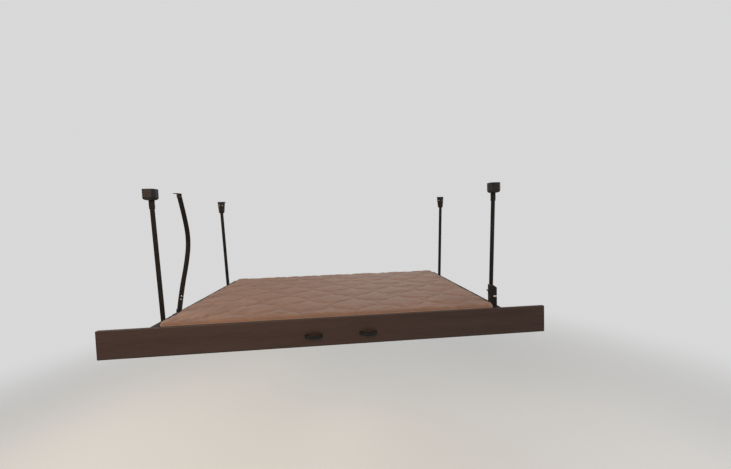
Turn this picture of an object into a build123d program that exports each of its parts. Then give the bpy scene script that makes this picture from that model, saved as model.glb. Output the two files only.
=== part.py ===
from build123d import *
import os
from math import radians, tan

# Drop-down bunk in its lowered place. Four belts hang it from its brackets,
# and a drive shaft in its frame winds them in, so the bunk climbs its own belts.
# All sizes are in millimetres: X runs to the right along the face board, Y away from it
# towards the far end and Z up.
# The origin is the middle of the brackets' bolt pattern, in the plane of their top faces.
# "near" is the end with the face board.

SIDES = {"left": -1, "right": 1}
ENDS = {"near": -1, "far": 1}

# Face board
board_length = 2450
board_height = 152
board_thickness = 19
board_edge_round = 2
ceiling_to_board = 738
belts_behind_board = 126

# Mattress
mattress_length = 1880
mattress_width = 1219
mattress_thickness = 100
mattress_above_board = 14
mattress_behind_board = 19
mattress_corner_round = 30
mattress_edge_round = 22
mattress_gap = 2

# Frame of the bunk
rail_wall = 3
rail_round = 2
rail_below_board = 8
rail_lip = 9
deck_thickness = 12
bar_size = 40
bar_wall = 2
bar_round = 4
bar_count = 3
belly_thickness = 5
rear_rail_thickness = 20
angle_leg = 32
angle_wall = 3
angle_height = 110

# Lift belts
belt_before_mattress_end = 201
belt_width = 26
belt_thickness = 2
belt_splay = 24
belt_slot_margin = 4
belt_slot_depth = 10
belt_foot_in_rail = 14
belt_end_top = 12
belt_end_length = 73

# Brackets that carry the belts
bracket_width = 62
bracket_taper = 9
bracket_wall = 4
bracket_depth = 32
bracket_drops = {"near": 50, "far": 100}
bracket_tip_round = 10
bolt_from_side = 9
bolt_hole_radius = 4.5
bolt_from_web = 13
clamp_beside_belt = 7
clamp_height = 24
clamp_wall = 4
clamp_below_ceiling = 20

# Covers over the near brackets
cover_wall = 2.5
cover_gap = 0.5
cover_below_bracket = 7.5
cover_corner_round = 18
cover_bottom_round = 16
bolt_head_room = 16

# Rollers, drive shaft and drums
running_gap = 0.3
bearing_gap = 0.05
roller_radius = 20
roller_side_room = 5
roller_pin_radius = 5
pin_head_radius = 9
pin_head_thickness = 3
shaft_radius = 10
shaft_below_deck = 7
shaft_end_proud = 4
hub_radius = 20
wrap_thickness = 4
flange_radius = 30
flange_thickness = 1
flange_hole_radius = 3
flange_hole_count = 4
drum_side_room = 1
drum_to_rail = 5
turned_chamfer = 1

# Gear motor
gearbox_x = -610
gearbox_width = 64
gearbox_length = 84
gearbox_below_deck = 2
gearbox_height = 46
gearbox_round = 6
gearbox_pad_inset = 4
gearbox_to_belly = 8
motor_radius = 21
motor_length = 96
motor_round = 5

# Switch box on the right rail, before the foot of the near belt
box_inset_left = 1
box_inset_right = 3
box_to_belt = 6
box_depth = 36
box_height = 126
box_slope_width = 22
box_slope_drop = 16
box_wall = 2.5
box_round = 5
clip_width = 20
clip_height = 9
clip_depth = 5
clip_from_right = 15
clip_above_rail = 58
clip_round = 2

# Slack strap at the left: route as Y and share of the way down, chosen by hand
strap_route_shares = [(-220, 0), (-158, 0.23), (-141, 0.42), (-184, 0.61), (-256, 0.82), (-296, 1)]
strap_below_ceiling = 20
strap_above_rail = 4
strap_width = 30
strap_thickness = 2
strap_plate_length = 44
strap_plate_width = 32
strap_plate_wall = 3
strap_tab_height = 24
strap_tab_wall = 3
strap_clearance = 0.3
strap_outwards = 5

# Pulls on the face board
pull_places = {"left": -117, "right": 184}
pull_length = 98
pull_depth = 30
pull_height = 20
pull_foot = 13
pull_grip = 11
pull_below_top = 93.5
pull_round = 3
pull_inner_length = pull_length - 2 * pull_foot
pull_inner_depth = pull_depth - pull_grip

# Heights
board_top = -ceiling_to_board
board_bottom = board_top - board_height
mattress_top = board_top + mattress_above_board
deck_top = mattress_top - mattress_thickness
deck_bottom = deck_top - deck_thickness
bar_bottom = deck_bottom - bar_size
belly_bottom = bar_bottom - belly_thickness
rail_top = board_top - rail_below_board
rail_bottom = belly_bottom - rail_lip
shaft_z = deck_bottom - shaft_below_deck - shaft_radius
wrap_radius = hub_radius + wrap_thickness
run_top = shaft_z - wrap_radius - running_gap
roller_z = run_top + running_gap + roller_radius

# Places along Y
board_to_mattress_end = board_thickness + mattress_behind_board + mattress_width
belt_spacing = board_to_mattress_end - belts_behind_board - belt_before_mattress_end
belt_y = {end: sign * belt_spacing / 2 for end, sign in ENDS.items()}
board_face = belt_y["near"] - belts_behind_board
board_back = board_face + board_thickness
mattress_near = board_back + mattress_behind_board
mattress_far = mattress_near + mattress_width
rear_rail_near = mattress_far + mattress_gap
rail_end = rear_rail_near + rear_rail_thickness
roller_y = belt_y["near"] + belt_thickness / 2 + running_gap + roller_radius
shaft_y = belt_y["far"] + belt_thickness / 2 + running_gap + wrap_radius
belly_end = shaft_y - gearbox_length / 2 - gearbox_to_belly

# Places across X, measured outwards from the middle
rail_inner = mattress_length / 2 + mattress_gap
drum_half = belt_width / 2 + drum_side_room
rail_half = drum_half + flange_thickness + drum_to_rail + rail_wall
rail_outer = rail_inner + 2 * rail_half
belt_x = (rail_inner + rail_outer) / 2
belt_top_x = belt_x + belt_splay
bolt_y = belt_spacing / 2 + belt_thickness / 2 + bracket_wall + bolt_from_web
box_left = rail_inner + box_inset_left
box_right = rail_outer - box_inset_right
box_far = belt_y["near"] - belt_thickness / 2 - box_to_belt
box_near = box_far - box_depth

belt_end_bottom = -belt_end_top - belt_end_length
belt_foot_z = rail_top - belt_foot_in_rail
bracket_corner_round = cover_corner_round - cover_wall - cover_gap
bracket_tip_width = bracket_width - 2 * bracket_taper
bolt_half_spacing = bracket_width / 2 - bolt_from_side
clamp_width = belt_width + 2 * clamp_beside_belt
cover_width = bracket_width + 2 * (cover_gap + cover_wall)
cover_height = bracket_drops["near"] + cover_below_bracket + cover_wall

# Longer than anything that a hole goes through
through = 3 * board_length

os.makedirs("parts", exist_ok=True)


def block(low, high, mode=Mode.ADD):
    """Adds a box between two corners to the sub-part that is being built, or cuts it away."""
    size = [abs(b - a) for a, b in zip(low, high)]
    middle = [(a + b) / 2 for a, b in zip(low, high)]
    with Locations(tuple(middle)):
        Box(*size, mode=mode)


def cut_block(low, high):
    """Cuts a box between two corners from the sub-part that is being built."""
    block(low, high, Mode.SUBTRACT)


def tube(middle_y, middle_z, width, height):
    """Adds a hollow rectangular tube between the side rails to the sub-part that is being built."""
    with BuildSketch(Plane.YZ) as section:
        with Locations((middle_y, middle_z)):
            RectangleRounded(width, height, bar_round)
            inner_size = (width - 2 * bar_wall, height - 2 * bar_wall)
            RectangleRounded(*inner_size, bar_round - bar_wall, mode=Mode.SUBTRACT)
    extrude(section.sketch, amount=rail_inner, both=True)


def keep(builder, name):
    """Labels a finished sub-part and writes it."""
    builder.part.label = name
    export_step(builder.part, f"parts/{name}.step")


def corner_radii(points, share=0.45):
    """Radius at each inner corner of a route: a share of its shorter run over tan(half the turn)."""
    radii = []
    for before, corner, after in zip(points, points[1:], points[2:]):
        run_in = Vector(*corner) - Vector(*before)
        run_out = Vector(*after) - Vector(*corner)
        turn = run_in.get_angle(run_out)
        radii.append(share * min(run_in.length, run_out.length) / tan(radians(turn) / 2))
    return radii


# Face board, a plain laminated board wider than the bunk
with BuildPart() as face_board:
    block((-board_length / 2, board_face, board_bottom), (board_length / 2, board_back, board_top))
    fillet(face_board.edges().filter_by(Axis.X).group_by(Axis.Y)[0], board_edge_round)
keep(face_board, "face_board")

# Bow pulls on the board: a flat bow seen from above, with a finger gap behind it
for side, place in pull_places.items():
    middle_z = board_top - pull_below_top
    with BuildPart() as pull:
        with BuildSketch(Plane.XY.offset(middle_z - pull_height / 2)):
            with BuildLine():
                outer_left = (place - pull_length / 2, board_face)
                outer_right = (place + pull_length / 2, board_face)
                inner_left = (place - pull_inner_length / 2, board_face)
                inner_right = (place + pull_inner_length / 2, board_face)
                ThreePointArc(outer_left, (place, board_face - pull_depth), outer_right)
                Line(outer_right, inner_right)
                ThreePointArc(inner_right, (place, board_face - pull_inner_depth), inner_left)
                Line(inner_left, outer_left)
            make_face()
        extrude(amount=pull_height)
        fillet(pull.edges().filter_by(GeomType.CIRCLE), pull_round)
    keep(pull, f"pull_{side}")

# Mattress
with BuildPart() as mattress:
    block(
        (-mattress_length / 2, mattress_near, deck_top),
        (mattress_length / 2, mattress_far, mattress_top),
    )
    fillet(mattress.edges().filter_by(Axis.Z), mattress_corner_round)
    fillet(mattress.faces().sort_by(Axis.Z)[-1].edges(), mattress_edge_round)
    fillet(mattress.faces().sort_by(Axis.Z)[0].edges(), mattress_edge_round)
keep(mattress, "mattress")

# Plywood deck under the mattress
with BuildPart() as deck_panel:
    block((-rail_inner, board_back, deck_bottom), (rail_inner, rear_rail_near, deck_top))
keep(deck_panel, "deck_panel")

# Side rails: channels open below, with a slot in the top web for each belt
for side, sign in SIDES.items():
    slot_half = belt_width / 2 + belt_slot_margin
    with BuildPart() as side_rail:
        block((sign * rail_inner, board_back, rail_bottom), (sign * rail_outer, rail_end, rail_top))
        fillet(side_rail.edges().filter_by(Axis.Y).group_by(Axis.Z)[-1], rail_round)
        cut_block(
            (sign * (rail_inner + rail_wall), board_back, rail_bottom),
            (sign * (rail_outer - rail_wall), rail_end, rail_top - rail_wall),
        )
        for end in ENDS:
            cut_block(
                (sign * belt_x - slot_half, belt_y[end] - belt_slot_depth / 2, rail_top - rail_wall),
                (sign * belt_x + slot_half, belt_y[end] + belt_slot_depth / 2, rail_top),
            )
        with Locations(Plane.YZ):
            with Locations((shaft_y, shaft_z)):
                Cylinder(shaft_radius + bearing_gap, through, mode=Mode.SUBTRACT)
            with Locations((roller_y, roller_z)):
                Cylinder(roller_pin_radius, through, mode=Mode.SUBTRACT)
    keep(side_rail, f"side_rail_{side}")

# Rear rail, a tall tube that stops the mattress
with BuildPart() as rear_rail:
    rear_rail_y = (rear_rail_near + rail_end) / 2
    tube(rear_rail_y, (rail_top + rail_bottom) / 2, rear_rail_thickness, rail_top - rail_bottom)
keep(rear_rail, "rear_rail")

# Front rail and cross bars: square tubes under the deck
front_bar_y = board_back + bar_size / 2
last_bar_y = belly_end - bar_size / 2
bar_step = (last_bar_y - front_bar_y) / bar_count
for number in range(bar_count + 1):
    middle_y = front_bar_y + number * bar_step
    with BuildPart() as bar:
        tube(middle_y, bar_bottom + bar_size / 2, bar_size, bar_size)
    keep(bar, f"cross_bar_{number}" if number else "front_rail")

# Belly panel, which closes the frame from below
with BuildPart() as belly_panel:
    block((-rail_inner, board_back, belly_bottom), (rail_inner, belly_end, bar_bottom))
keep(belly_panel, "belly_panel")

# Angles that hold the board to the rails
for side, sign in SIDES.items():
    angle_top = rail_top - (rail_top - rail_bottom - angle_height) / 2
    with BuildPart() as angle:
        block(
            (sign * rail_outer, board_back, angle_top - angle_height),
            (sign * (rail_outer + angle_leg), board_back + angle_wall, angle_top),
        )
        block(
            (sign * rail_outer, board_back, angle_top - angle_height),
            (sign * (rail_outer + angle_wall), board_back + angle_leg, angle_top),
        )
    keep(angle, f"board_angle_{side}")

# Brackets, clamp plates and belt ends, one set at each corner
for end, along in ENDS.items():
    for side, sign in SIDES.items():
        corner = f"{end}_{side}"
        middle_x = sign * belt_top_x
        web_face = belt_y[end] + along * belt_thickness / 2
        drop = bracket_drops[end]
        with BuildPart() as bracket:
            block(
                (middle_x - bracket_width / 2, web_face, -bracket_wall),
                (middle_x + bracket_width / 2, web_face + along * bracket_depth, 0),
            )
            plate_edges = bracket.edges().filter_by(Axis.Z).sort_by(Axis.Y)
            fillet(plate_edges[:2] if end == "near" else plate_edges[-2:], bracket_corner_round)
            with BuildSketch(Plane.XZ.offset(-web_face)) as web:
                with BuildLine():
                    Polyline(
                        (middle_x - bracket_width / 2, -bracket_wall / 2),
                        (middle_x + bracket_width / 2, -bracket_wall / 2),
                        (middle_x + bracket_tip_width / 2, -drop),
                        (middle_x - bracket_tip_width / 2, -drop),
                        close=True,
                    )
                make_face()
                fillet(web.vertices().group_by(Axis.Z)[0], bracket_tip_round)
            extrude(amount=-along * bracket_wall)
            with Locations(
                (middle_x - bolt_half_spacing, along * bolt_y, 0),
                (middle_x + bolt_half_spacing, along * bolt_y, 0),
            ):
                Cylinder(bolt_hole_radius, through, mode=Mode.SUBTRACT)
        keep(bracket, f"ceiling_bracket_{corner}")

        clamp_face = belt_y[end] - along * belt_thickness / 2
        with BuildPart() as clamp:
            block(
                (middle_x - clamp_width / 2, clamp_face, -clamp_below_ceiling - clamp_height),
                (middle_x + clamp_width / 2, clamp_face - along * clamp_wall, -clamp_below_ceiling),
            )
        keep(clamp, f"belt_clamp_{corner}")

        with BuildPart() as belt_end:
            block(
                (middle_x - belt_width / 2, belt_y[end] - belt_thickness / 2, belt_end_bottom),
                (middle_x + belt_width / 2, belt_y[end] + belt_thickness / 2, -belt_end_top),
            )
        keep(belt_end, f"belt_end_{corner}")

        # The free belt, from its clamped end down to just inside the rail
        foot_x = sign * belt_x
        with BuildPart() as lift_belt:
            with BuildSketch(Plane.XZ.offset(-belt_y[end])):
                with BuildLine():
                    Polyline(
                        (middle_x - belt_width / 2, belt_end_bottom),
                        (middle_x + belt_width / 2, belt_end_bottom),
                        (foot_x + belt_width / 2, belt_foot_z),
                        (foot_x - belt_width / 2, belt_foot_z),
                        close=True,
                    )
                make_face()
            extrude(amount=belt_thickness / 2, both=True)
        keep(lift_belt, f"lift_belt_{corner}")

# Rounded covers under the near brackets, with a slot for the belt
for side, sign in SIDES.items():
    middle_x = sign * belt_top_x
    cover_back = belt_y["near"] + belt_thickness / 2 + clamp_wall + bolt_head_room
    cover_front = belt_y["near"] - belt_thickness / 2 - bracket_depth - cover_gap - cover_wall
    slot_half = belt_width / 2 + belt_slot_margin
    with BuildPart() as cover:
        block(
            (middle_x - cover_width / 2, cover_front, -cover_height),
            (middle_x + cover_width / 2, cover_back, 0),
        )
        fillet(cover.edges().filter_by(Axis.Z), cover_corner_round)
        fillet(cover.faces().sort_by(Axis.Z)[0].edges(), cover_bottom_round)
        offset(amount=-cover_wall, openings=cover.faces().sort_by(Axis.Z)[-1])
        cut_block(
            (middle_x - slot_half, belt_y["near"] - belt_slot_depth / 2, -2 * cover_height),
            (middle_x + slot_half, belt_y["near"] + belt_slot_depth / 2, -cover_height / 2),
        )
    keep(cover, f"belt_cover_{side}")

# Belt runs inside the rails, which ride with the bunk
for side, sign in SIDES.items():
    run_bottom = run_top - belt_thickness
    bend_inner = roller_radius + running_gap
    near_y = belt_y["near"]
    with BuildPart() as near_run:
        with BuildSketch(Plane.YZ.offset(sign * belt_x)):
            with BuildLine():
                Polyline(
                    (near_y + belt_thickness / 2, roller_z),
                    (near_y + belt_thickness / 2, belt_foot_z),
                    (near_y - belt_thickness / 2, belt_foot_z),
                    (near_y - belt_thickness / 2, roller_z),
                )
                bend_outer = bend_inner + belt_thickness
                RadiusArc((near_y - belt_thickness / 2, roller_z), (roller_y, run_bottom), -bend_outer)
                Polyline(
                    (roller_y, run_bottom),
                    (shaft_y, run_bottom),
                    (shaft_y, run_top),
                    (roller_y, run_top),
                )
                RadiusArc((roller_y, run_top), (near_y + belt_thickness / 2, roller_z), bend_inner)
            make_face()
        extrude(amount=belt_width / 2, both=True)
    keep(near_run, f"belt_run_near_{side}")

    with BuildPart() as far_run:
        block(
            (sign * belt_x - belt_width / 2, belt_y["far"] - belt_thickness / 2, shaft_z),
            (sign * belt_x + belt_width / 2, belt_y["far"] + belt_thickness / 2, belt_foot_z),
        )
    keep(far_run, f"belt_run_far_{side}")

# Corner rollers and their pins
for side, sign in SIDES.items():
    axis_plane = Plane.YZ.offset(sign * belt_x)
    with BuildPart() as roller:
        with BuildSketch(axis_plane):
            with Locations((roller_y, roller_z)):
                Circle(roller_radius)
                Circle(roller_pin_radius + bearing_gap, mode=Mode.SUBTRACT)
        extrude(amount=rail_half - rail_wall - roller_side_room, both=True)
        rim = roller.edges().filter_by(GeomType.CIRCLE).group_by(SortBy.RADIUS)[-1]
        chamfer(rim, turned_chamfer)
    keep(roller, f"corner_roller_{side}")

    with BuildPart() as roller_pin:
        with BuildSketch(axis_plane):
            with Locations((roller_y, roller_z)):
                Circle(roller_pin_radius)
        extrude(amount=rail_half + pin_head_thickness, both=True)
        for face_x in (rail_outer, rail_inner - pin_head_thickness):
            with BuildSketch(Plane.YZ.offset(sign * face_x)):
                with Locations((roller_y, roller_z)):
                    Circle(pin_head_radius)
            extrude(amount=sign * pin_head_thickness)
    keep(roller_pin, f"roller_pin_{side}")

# Drive shaft with a drum in each rail
with BuildPart() as drive_shaft:
    with BuildSketch(Plane.YZ):
        with Locations((shaft_y, shaft_z)):
            Circle(shaft_radius)
    extrude(amount=rail_outer + shaft_end_proud, both=True)
    chamfer(drive_shaft.edges().filter_by(GeomType.CIRCLE), turned_chamfer)
keep(drive_shaft, "drive_shaft")

for side, sign in SIDES.items():
    with BuildPart() as drum:
        with BuildSketch(Plane.YZ.offset(sign * belt_x)):
            with Locations((shaft_y, shaft_z)):
                Circle(hub_radius)
                Circle(shaft_radius, mode=Mode.SUBTRACT)
        extrude(amount=drum_half, both=True)
        for inside in (-1, 1):
            with BuildSketch(Plane.YZ.offset(sign * belt_x + inside * drum_half)):
                with Locations((shaft_y, shaft_z)):
                    Circle(flange_radius)
                    Circle(shaft_radius, mode=Mode.SUBTRACT)
                    with PolarLocations((shaft_radius + hub_radius) / 2, flange_hole_count):
                        Circle(flange_hole_radius, mode=Mode.SUBTRACT)
            extrude(amount=inside * flange_thickness)
    keep(drum, f"belt_drum_{side}")

    with BuildPart() as wrap:
        with BuildSketch(Plane.YZ.offset(sign * belt_x)):
            with Locations((shaft_y, shaft_z)):
                Circle(wrap_radius)
                Circle(hub_radius, mode=Mode.SUBTRACT)
        extrude(amount=belt_width / 2, both=True)
    keep(wrap, f"belt_wrap_{side}")

# Gear motor on the drive shaft
with BuildPart() as gearbox:
    gearbox_top = deck_bottom - gearbox_below_deck
    block(
        (gearbox_x - gearbox_width / 2, shaft_y - gearbox_length / 2, gearbox_top - gearbox_height),
        (gearbox_x + gearbox_width / 2, shaft_y + gearbox_length / 2, gearbox_top),
    )
    fillet(gearbox.edges().filter_by(Axis.X), gearbox_round)
    with BuildSketch(Plane.XY.offset(gearbox_top)):
        with Locations((gearbox_x, shaft_y)):
            Rectangle(gearbox_width - 2 * gearbox_pad_inset, gearbox_length)
    extrude(amount=gearbox_below_deck)
    with Locations(Plane.YZ.offset(gearbox_x)):
        with Locations((shaft_y, shaft_z)):
            Cylinder(shaft_radius + bearing_gap, through, mode=Mode.SUBTRACT)
keep(gearbox, "gearbox")

with BuildPart() as lift_motor:
    motor_z = gearbox_top - gearbox_height / 2
    motor_start = shaft_y + gearbox_length / 2
    with BuildSketch(Plane.XZ.offset(-motor_start)):
        with Locations((gearbox_x, motor_z)):
            Circle(motor_radius)
    extrude(amount=-motor_length)
    fillet(lift_motor.edges().sort_by(Axis.Y)[-1], motor_round)
keep(lift_motor, "lift_motor")

# Switch box: a hollow housing, open below, whose top slopes down to the right
with BuildPart() as switch_box:
    box_top = rail_top + box_height
    with BuildSketch(Plane.XZ.offset(-box_far)):
        with BuildLine():
            Polyline(
                (box_left, rail_top),
                (box_left, box_top),
                (box_right - box_slope_width, box_top),
                (box_right, box_top - box_slope_drop),
                (box_right, rail_top),
                close=True,
            )
        make_face()
    extrude(amount=box_depth)
    open_edges = switch_box.faces().sort_by(Axis.Z)[0].edges()
    fillet(switch_box.edges() - open_edges, box_round)
    offset(amount=-box_wall, openings=switch_box.faces().sort_by(Axis.Z)[0])
keep(switch_box, "switch_box")

# Pale clip on the near face of the box
with BuildPart() as box_clip:
    clip_x = box_right - clip_from_right
    clip_z = rail_top + clip_above_rail
    block(
        (clip_x - clip_width / 2, box_near - clip_depth, clip_z - clip_height / 2),
        (clip_x + clip_width / 2, box_near, clip_z + clip_height / 2),
    )
    fillet(box_clip.faces().sort_by(Axis.Y)[0].edges(), clip_round)
keep(box_clip, "box_clip")

# Slack strap at the left, from its upper plate to a tab on the rail
strap_x = -(belt_x + strap_outwards)
strap_drop = -strap_below_ceiling - rail_top - strap_above_rail
strap_route = [(y, -strap_below_ceiling - share * strap_drop) for y, share in strap_route_shares]
with BuildPart() as slack_strap:
    with BuildSketch(Plane.YZ.offset(strap_x)):
        with BuildLine():
            FilletPolyline(*strap_route, radius=corner_radii(strap_route))
            offset(amount=strap_thickness, side=Side.RIGHT)
        make_face()
    extrude(amount=strap_width / 2, both=True)
keep(slack_strap, "slack_strap")
print("strap corner radii", [round(r) for r in corner_radii(strap_route)])

strap_ends = {
    "strap_plate": (strap_route[0][0], 0, -1),
    "strap_tab": (strap_route[-1][0], rail_top, 1),
}
for name, (tab_y, seat_z, up) in strap_ends.items():
    tab_far = tab_y - strap_thickness - strap_clearance
    with BuildPart() as strap_anchor:
        block(
            (strap_x - strap_plate_width / 2, tab_far - strap_plate_length, seat_z),
            (strap_x + strap_plate_width / 2, tab_far, seat_z + up * strap_plate_wall),
        )
        block(
            (strap_x - strap_width / 2, tab_far - strap_tab_wall, seat_z),
            (strap_x + strap_width / 2, tab_far, seat_z + up * strap_tab_height),
        )
    keep(strap_anchor, name)
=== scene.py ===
# %% [markdown]
# The drop-down bunk
#
# The real thing is a bed that hangs from four flat belts. A long face board closes its near
# end, and a drive shaft in its frame winds the belts in, so the bunk climbs its own belts.
# The CAD solids give every size and every moving body. This lesson keeps them as a fixed
# frame and adds what solids can't show: a quilted mattress, woven belts, sewing, bolts,
# and a finish for each surface.

# %% Load the frame
import bmesh
import bpy
import numpy as np
from mathutils import Matrix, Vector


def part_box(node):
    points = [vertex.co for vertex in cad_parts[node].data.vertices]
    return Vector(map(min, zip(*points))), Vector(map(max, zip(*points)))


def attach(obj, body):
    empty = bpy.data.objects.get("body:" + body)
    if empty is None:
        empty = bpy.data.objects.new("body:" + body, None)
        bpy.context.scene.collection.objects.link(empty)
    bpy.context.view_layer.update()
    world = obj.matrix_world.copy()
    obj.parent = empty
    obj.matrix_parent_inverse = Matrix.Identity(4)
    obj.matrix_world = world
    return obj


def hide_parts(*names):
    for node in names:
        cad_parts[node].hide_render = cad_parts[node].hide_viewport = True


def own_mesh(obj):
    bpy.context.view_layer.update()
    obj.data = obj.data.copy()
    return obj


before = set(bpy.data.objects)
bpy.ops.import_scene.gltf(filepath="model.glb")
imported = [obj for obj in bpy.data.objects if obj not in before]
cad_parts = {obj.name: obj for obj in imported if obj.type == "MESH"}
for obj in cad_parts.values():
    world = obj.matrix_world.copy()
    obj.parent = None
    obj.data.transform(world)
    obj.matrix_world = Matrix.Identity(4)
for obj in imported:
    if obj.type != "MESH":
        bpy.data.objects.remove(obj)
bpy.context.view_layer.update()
print("CAD nodes", len(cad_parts))

# %% [markdown]
# The camera
#
# The picture was taken with a wide lens, from a little above the bed. Straight edges that
# run across, along and upwards meet in three vanishing points, and these fix the direction
# and the lens. The size of the mattress then fixes the distance. The camera is made first,
# so that every piece can be compared with the picture.

# %% Camera
PICTURE_WIDTH = 731
FOCAL_PIXELS = 285
SENSOR_WIDTH = 36
CAMERA_PLACE = (0.0526, -2.149, -0.217)
camera_data = bpy.data.cameras.new("camera")
camera_data.sensor_fit = "HORIZONTAL"
camera_data.sensor_width = SENSOR_WIDTH
camera_data.lens = FOCAL_PIXELS * SENSOR_WIDTH / PICTURE_WIDTH
camera_data.clip_start = 0.01
camera = bpy.data.objects.new("camera", camera_data)
bpy.context.collection.objects.link(camera)

pitch, yaw, roll = 0.0429, -0.0851, 0.0298
level_to_camera = Matrix.Rotation(np.pi / 2, 4, "X")
turn = Matrix.Rotation(yaw, 4, "Z") @ Matrix.Rotation(-pitch, 4, "X") @ Matrix.Rotation(roll, 4, "Y")
camera.matrix_world = Matrix.Translation(CAMERA_PLACE) @ turn @ level_to_camera
bpy.context.scene.camera = camera
print("lens", round(camera_data.lens, 2), "mm")

# %% [markdown]
# Shader sums as Python sums
#
# A node tree is hard to read as code when each sum takes four lines. So one small class
# holds a socket and gives it the usual operators: writing `a * 2 + b` adds the two Math
# nodes by itself. Every other node comes from one method, `add`, that takes the node's type,
# its settings and the values or links of its sockets.


# %% Sockets and finishes
class Wire:
    """A socket's value in a sum: each operator adds one Math node to the same tree."""

    def __init__(self, socket, finish):
        self.socket = socket
        self.finish = finish

    def math(self, operation, *values):
        return self.finish.add("ShaderNodeMath", {"operation": operation}, dict(enumerate(values)))

    def __add__(self, other):
        return self.math("ADD", self, other)

    def __radd__(self, other):
        return self.math("ADD", other, self)

    def __sub__(self, other):
        return self.math("SUBTRACT", self, other)

    def __rsub__(self, other):
        return self.math("SUBTRACT", other, self)

    def __mul__(self, other):
        return self.math("MULTIPLY", self, other)

    def __pow__(self, other):
        return self.math("POWER", self, other)

    def __abs__(self):
        return self.math("ABSOLUTE", self)

    def sine(self):
        return self.math("SINE", self)

    def lesser(self, other):
        return self.math("MINIMUM", self, other)

    def greater(self, other):
        return self.math("MAXIMUM", self, other)

    def to_whole(self):
        """Distance to the nearest whole number, from 0 to 0.5."""
        return abs(self.math("WRAP", self, 0.5, -0.5))

    def ripple(self, repeat, shift=0):
        """A sine between 0 and 1 that comes back after each repeat, its angle moved by a shift."""
        return (self * (2 * np.pi / repeat) + shift).sine() * 0.5 + 0.5

    def rise(self, low, high):
        """Goes smoothly from 0 at low to 1 at high."""
        return self.finish.add(
            "ShaderNodeMapRange",
            {"interpolation_type": "SMOOTHSTEP"},
            {"Value": self, "From Min": low, "From Max": high},
        )


class Finish:
    """A material in the making: a Principled shader, and one method that adds any other node."""

    def __init__(self, name, slot, constants=None):
        self.material = bpy.data.materials.new(name)
        self.material.use_nodes = True
        self.tree = self.material.node_tree
        self.shader = self.tree.nodes["Principled BSDF"]
        self.slot = slot
        for socket, value in (constants or {}).items():
            self.shader.inputs[socket].default_value = value

    def plug(self, socket, value):
        """Links a wire to a socket, or writes a number, colour or vector on it."""
        if isinstance(value, Wire):
            self.tree.links.new(value.socket, socket)
        elif socket.type == "RGBA" and len(value) == 3:
            socket.default_value = (*value, 1)
        else:
            socket.default_value = value

    def add(self, kind, settings=None, inputs=None, output=0):
        """Adds a node: its type, its settings, then the values or links of its sockets."""
        node = self.tree.nodes.new(kind)
        for key, value in (settings or {}).items():
            setattr(node, key, value)
        for key, value in (inputs or {}).items():
            self.plug(node.inputs[key], value)
        return Wire(node.outputs[output], self)

    def place(self, scale=(1, 1, 1), start=(0, 0, 0)):
        """Object coordinates, scaled after their start has moved."""
        spot = self.add("ShaderNodeTexCoord", output="Object")
        moved = self.add("ShaderNodeVectorMath", {"operation": "SUBTRACT"}, {0: spot, 1: start})
        return self.add("ShaderNodeVectorMath", {"operation": "MULTIPLY"}, {0: moved, 1: scale})

    def parts_of(self, vector):
        """The three numbers of a vector."""
        split = self.add("ShaderNodeSeparateXYZ", inputs={0: vector}).socket.node
        return [Wire(socket, self) for socket in split.outputs]

    def own_map(self):
        """U and V of the mesh's own map, in metres."""
        return self.parts_of(self.add("ShaderNodeUVMap", {"uv_map": "cloth"}))[:2]

    def noise(self, vector, scale, detail=3, roughness=0.5):
        """Cloudy noise with this many clouds a metre, and finer ones on top."""
        values = {"Vector": vector, "Scale": scale, "Detail": detail, "Roughness": roughness}
        return self.add("ShaderNodeTexNoise", inputs=values)

    def cells(self, scale, feature="F1"):
        """Distance to the middle of the cell, with this many cells a metre."""
        values = {"Vector": self.place(), "Scale": scale}
        return self.add("ShaderNodeTexVoronoi", {"feature": feature}, values)

    def blend(self, share, low, high):
        """A colour between two others."""
        return self.add("ShaderNodeMix", {"data_type": "RGBA"}, {0: share, 6: low, 7: high}, 2)

    def bump(self, height, distance, under=None):
        """A normal from a height between 0 and 1 that stands for a distance in metres."""
        values = {"Height": height, "Distance": distance}
        if under is not None:
            values["Normal"] = under
        return self.add("ShaderNodeBump", inputs=values)

    def set(self, **wires):
        """Plugs wires into the shader, such as base_color, roughness or normal."""
        for key, wire in wires.items():
            self.plug(self.shader.inputs[key.replace("_", " ").title()], wire)
        return self


finishes = {}


def keep_finish(key, finish):
    """Keeps a finish for the pieces that come later, and says how many nodes it took."""
    finishes[key] = finish
    print("finish", finish.material.name, "nodes", len(finish.tree.nodes))


print("sockets can be summed")

# %% [markdown]
# Floor, light and view
#
# A pale floor lies well below the bed, and fades out towards a pale background, so that no
# horizon crosses the picture. Large soft lamps stand in front, at both sides and behind.
# Their level is set so that a colour renders about as it is written.

# %% Floor and background
FLOOR_Z, FLOOR_HALF = -2.13, 7.0
FADE_FROM, FADE_TO = 2.0, 5.5
LIGHT_ON_PIECES, LIGHT_SEEN = 0.34, 0.86
floor_signs = ((-1, -1), (1, -1), (1, 1), (-1, 1))
floor_corners = [(x * FLOOR_HALF, y * FLOOR_HALF, FLOOR_Z) for x, y in floor_signs]
floor_mesh = bpy.data.meshes.new("floor")
floor_mesh.from_pydata(floor_corners, [], [(0, 1, 2, 3)])
floor = bpy.data.objects.new("floor", floor_mesh)
bpy.context.collection.objects.link(floor)
floor_finish = Finish("floor_pale", None, {"Roughness": 0.9, "Base Color": (0.80, 0.80, 0.79, 1)})
floor_x, floor_y, _ = floor_finish.parts_of(floor_finish.place())
away = (floor_x * floor_x + floor_y * floor_y) ** 0.5
clear = floor_finish.add("ShaderNodeBsdfTransparent")
surface = Wire(floor_finish.shader.outputs[0], floor_finish)
fade = away.rise(FADE_FROM, FADE_TO)
faded = floor_finish.add("ShaderNodeMixShader", inputs={0: fade, 1: surface, 2: clear})
floor_finish.tree.links.new(faded.socket, floor_finish.tree.nodes["Material Output"].inputs[0])
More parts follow.
